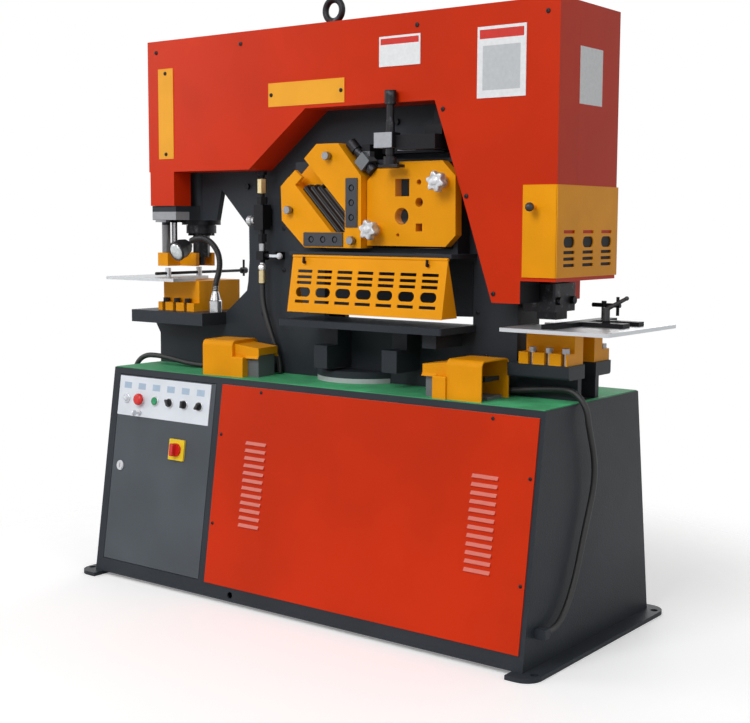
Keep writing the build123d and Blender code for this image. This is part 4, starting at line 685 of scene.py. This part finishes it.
def arcPath(route, step):
    # Points every step along the route's arcs, and how far along each is
    route = np.array(route, float)
    middles = (route[:-1] + route[1:]) / 2
    stations = [route[:1]]
    share = np.linspace(0, 1, neck["arcPoints"])[1:, None]
    for before, corner, after in zip(middles[:-1], route[1:-1], middles[1:]):
        stations.append((1 - share) ** 2 * before + 2 * share * (1 - share) * corner + share ** 2 * after)
    stations.append(route[-1:])
    path = np.concatenate(stations)
    along = np.concatenate([[0], np.cumsum(np.linalg.norm(np.diff(path, axis=0), axis=1))])
    even = np.arange(0, along[-1], step)
    return np.stack([np.interp(even, along, path[:, i]) for i in range(3)], -1), even


def sweep(path, radius, sides):
    # Rings square to the path, each as wide as its own radius
    ahead = np.gradient(path, axis=0)
    ahead /= np.linalg.norm(ahead, axis=1, keepdims=True)
    right = np.cross(ahead, np.array(backWay))
    right /= np.linalg.norm(right, axis=1, keepdims=True)
    above = np.cross(right, ahead)
    angle = np.linspace(0, 2 * np.pi, sides, endpoint=False)[None, :, None]
    rings = right[:, None] * np.cos(angle) + above[:, None] * np.sin(angle)
    points = path[:, None] + rings * np.broadcast_to(radius, (len(path),))[:, None, None]
    rows = len(path)
    faces = gridFaces(rows, sides)[:, ::-1].tolist()
    faces += [list(range(sides)), [(rows - 1) * sides + i for i in range(sides)][::-1]]
    return points.reshape(-1, 3) * mm, faces


def makeNeck():
    path, along = arcPath(neck["route"], neck["step"])
    radius = neck["radius"] + neck["rise"] * np.cos(2 * np.pi * along / neck["rib"])
    points, faces = sweep(path, radius, neck["sides"])
    meshOf("lamp_neck", points, faces, "blackPlastic", "machine")


makeNeck()
print("neck made")


# Notch guard: flat outlines with openings, given the sheet's thickness and set on three sides, and a ball knob
notchGuard = {
    "low": 1008.0, "high": 1250.0, "left": 676.0, "inX": 776.3, "inY": 167.3, "sheet": 3.5, "columns": (-105, 0, 105),
    "slot": (60.0, 8.5), "slotHeights": (1128, 1074, 1057, 1040), "oval": (60.0, 29.0), "ovalHeight": 1101.0,
    "ovalEase": 0.1, "slotEdge": 1.6, "edge": 1.2, "corner": 4, "lap": 1.0,
    "knob": (712.0, 1192.0), "stem": [(6.0, -0.5), (6.0, 17.0), (5.0, 18.0)], "stemSides": 24,
    "ball": 12.0, "ballOut": 26.0, "ballArc": (0.02, 0.86, 18), "ballNeck": (5.0, 11.4), "ballSides": 36,
}


def rounded(centre, width, height, radius, steps=8):
    # Corner points of a rectangle with round corners, anticlockwise
    turn = np.linspace(0, np.pi / 2, steps)
    arcs = []
    for quarter, (sx, sy) in enumerate(((1, 1), (-1, 1), (-1, -1), (1, -1))):
        middle = (centre[0] + sx * (width / 2 - radius), centre[1] + sy * (height / 2 - radius))
        angle = turn + quarter * np.pi / 2
        arcs.append(np.stack([middle[0] + radius * np.cos(angle), middle[1] + radius * np.sin(angle)], -1))
    return np.concatenate(arcs)


def sheetWith(outline, openings, thickness):
    # A flat sheet in local x, y with its openings, its thickness along z from 0
    data = bpy.data.curves.new("sheet_outline", "CURVE")
    data.dimensions = "2D"
    data.fill_mode = "BOTH"
    data.extrude = thickness / 2
    for loop in [outline] + openings:
        spline = data.splines.new("POLY")
        spline.points.add(len(loop) - 1)
        spline.points.foreach_set("co", np.column_stack([loop, np.zeros(len(loop)), np.ones(len(loop))]).ravel())
        spline.use_cyclic_u = True
    holder = bpy.data.objects.new("sheet_outline", data)
    flat = bpy.data.meshes.new_from_object(holder)
    points = np.empty(len(flat.vertices) * 3)
    flat.vertices.foreach_get("co", points)
    points = points.reshape(-1, 3) + (0, 0, thickness / 2)
    faces = [list(face.vertices) for face in flat.polygons]
    bpy.data.objects.remove(holder)
    bpy.data.curves.remove(data)
    bpy.data.meshes.remove(flat)
    return points, faces


def makeNotchGuard():
    guard = notchGuard
    middle, height = (guard["low"] + guard["high"]) / 2, guard["high"] - guard["low"]
    face = guard["inY"] + guard["sheet"]
    openings = []
    for y in guard["columns"]:
        spot = (y, guard["ovalHeight"] - middle)
        openings.append(rounded(spot, *guard["oval"], guard["oval"][1] / 2 - guard["ovalEase"]))
        for z in guard["slotHeights"]:
            openings.append(rounded((y, z - middle), *guard["slot"], guard["slotEdge"], guard["corner"]))
    end = rounded((0, 0), 2 * face, height, guard["edge"], guard["corner"])
    points, faces = sheetWith(end, openings, guard["sheet"])
    parts = [(placed(points, (guard["inX"], 0, middle), rightWay), faces)]
    cheek = rounded((0, 0), guard["inX"] - guard["left"] + guard["lap"], height, guard["edge"], guard["corner"])
    points, faces = sheetWith(cheek, [], guard["sheet"])
    sideX = (guard["inX"] + guard["left"] + guard["lap"]) / 2
    parts.append((placed(points, (sideX, -guard["inY"], middle), front), faces))
    parts.append((placed(points, (sideX, guard["inY"], middle), backWay), faces))
    stem, quads = turned(guard["stem"], guard["stemSides"])
    knobX, knobZ = guard["knob"]
    parts.append((placed(stem, (knobX, -face, knobZ), front), quads))
    points, faces = joined(parts)
    piece = meshOf("notch_guard_sheet", points, faces, "orangePaint", "notch_guard", False)
    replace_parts(piece, "notch_guard")
    angle = np.linspace(*guard["ballArc"]) * np.pi
    ball = [(guard["ball"] * math.sin(a), -guard["ball"] * math.cos(a)) for a in angle] + [guard["ballNeck"]]
    points, faces = turned(ball[::-1], guard["ballSides"])
    seat = (knobX, -face - guard["ballOut"], knobZ)
    meshOf("notch_guard_ball", placed(points, seat, backWay), faces, "blackPlastic", "notch_guard")


makeNotchGuard()
print("notch guard made")


# Screws and bolts: profiles (radius, height) in screw radii, each with its number of sides
screwForms = {
    "pan": [(24, [(1.0, -0.3), (1.0, 0.2), (0.9, 0.42), (0.6, 0.6), (0.34, 0.64), (0.3, 0.3)])],
    "socket": [(24, [(1.0, -0.3), (1.0, 0.86), (0.93, 0.96), (0.58, 0.96)]), (6, [(0.54, 0.97), (0.50, 0.3)])],
}
# Places as x and z; face says how far each group's face stands from the middle, or the panel's from the slope
screws = {
    "cover_screws": {
        "form": "pan", "radius": 6.5, "face": coverHalf, "look": "blackSteel",
        "places": [(418, 1458), (497, 1222), (587, 961), (-700, 1690), (-330, 1690), (330, 1690), (740, 1690)],
    },
    "strip_screws": {
        "form": "pan", "radius": 6.0, "face": coverHalf + 2, "look": "blackSteel",
        "places": [(-658, 1622), (-658, 1366), (-204, 1529), (64, 1529)],
    },
    "panel_screws": {
        "form": "pan", "radius": 5.0, "face": 3, "look": "blackSteel",
        "places": [(-157, 642), (-304, 504), (-306, 234), (657, 642), (784, 500), (784, 228)],
    },
    "guard_screws": {
        "form": "pan", "radius": 6.0, "face": 60, "look": "blackSteel",
        "places": [(-250, 1000), (-350, 1290), (-250, 1130), (470, 900), (500, 780)],
    },
    "angle_screws": {
        "form": "socket", "radius": 12.0, "face": 185, "look": "boltSteel",
        "places": [(25, 1342), (-123, 1186), (116, 1098)],
    },
}


def frontSpots(facts):
    return [((x, -facts["face"], z), front) for x, z in facts["places"]]


def backSpots(facts):
    return [((x, facts["face"], z), backWay) for x, z in facts["places"]]


def slopeSpots(facts):
    return [((x, slopeY(z) - facts["face"], z), slopeOut) for x, z in facts["places"]]


def makeScrews(name, facts):
    spots = slopeSpots(facts) if name == "panel_screws" else frontSpots(facts)
    if name == "cover_screws":
        spots += backSpots(facts)
    parts = []
    for origin, out in spots:
        for sides, profile in screwForms[facts["form"]]:
            points, faces = turned([(r * facts["radius"], h * facts["radius"]) for r, h in profile], sides)
            parts.append((placed(points, origin, out), faces))
    points, faces = joined(parts)
    meshOf(name, points, faces, facts["look"], "machine", False)


for screwName, screwFacts in screws.items():
    makeScrews(screwName, screwFacts)
print("screws made")


# Star knobs: radius = reach * (1 + depth * cos(lobes * angle)) over a domed profile along the axis
starKnob = {
    "reach": 25.5, "depth": 0.17, "lobes": 6, "turn": 0.26, "length": 26.0, "neckLength": 18.4, "back": -158.0,
    "sides": 96, "lobeFrom": 0.4, "lobeOver": 0.5, "neck": [(15.0, 19.4), (15.0, 4.0), (16.5, 0.3)],
    "dome": [
        (0.02, 1.02), (0.30, 1.02), (0.34, 0.99), (0.38, 0.93), (0.62, 0.95), (0.84, 0.98), (0.95, 0.93), (1.0, 0.80),
        (1.0, 0.2), (0.96, 0.07), (0.84, 0.0), (0.62, 0.0),
    ],
}


def makeStarKnob(name, x, z):
    sides = starKnob["sides"]
    dome, neckForm = np.array(starKnob["dome"]), np.array(starKnob["neck"])
    angle = np.linspace(0, 2 * np.pi, sides, endpoint=False)
    share = np.clip((dome[:, :1] - starKnob["lobeFrom"]) / starKnob["lobeOver"], 0, 1)
    lobes = 1 + share * starKnob["depth"] * np.cos(starKnob["lobes"] * (angle + starKnob["turn"]))
    radius = dome[:, :1] * starKnob["reach"] * lobes
    height = np.broadcast_to(dome[:, 1:] * starKnob["length"] + starKnob["neckLength"], radius.shape)
    radius = np.concatenate([radius, np.broadcast_to(neckForm[:, :1], (len(neckForm), sides))])
    height = np.concatenate([height, np.broadcast_to(neckForm[:, 1:], (len(neckForm), sides))])
    points = np.stack([radius * np.cos(angle), radius * np.sin(angle), height], -1).reshape(-1, 3)
    rows = len(radius)
    ends = [list(range(sides)), [(rows - 1) * sides + i for i in range(sides)][::-1]]
    faces = gridFaces(rows, sides)[:, ::-1].tolist() + ends
    # The knob's node and body have the piece's name without its last six letters
    piece = meshOf(name, placed(points, (x, starKnob["back"], z), front), faces, "knobSilver", name[:-6])
    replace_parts(piece, name[:-6])


makeStarKnob("star_knob_upper_shape", 414, 1262)
makeStarKnob("star_knob_lower_shape", 182, 1129)
print("star knobs made")


# Bezels: a rounded ring (radius, height) turned round each switch's axis
bezels = {
    "profile": [(13.2, 3.0), (13.2, 6.2), (14.0, 6.6), (15.2, 6.4), (16.2, 5.2), (16.2, 1.0)],
    "count": 6, "first": -738.0, "pitch": 66.0, "row": 578.0, "sides": 40,
}


def makeBezels():
    parts = []
    for index in range(bezels["count"]):
        points, faces = turned(bezels["profile"], bezels["sides"])
        spot = onSlope(bezels["first"] + bezels["pitch"] * index, bezels["row"])
        parts.append((placed(points, spot, slopeOut), faces[:-2]))
    points, faces = joined(parts)
    meshOf("switch_bezels", points, faces, "brightSteel", "door")


makeBezels()
print("bezels made")
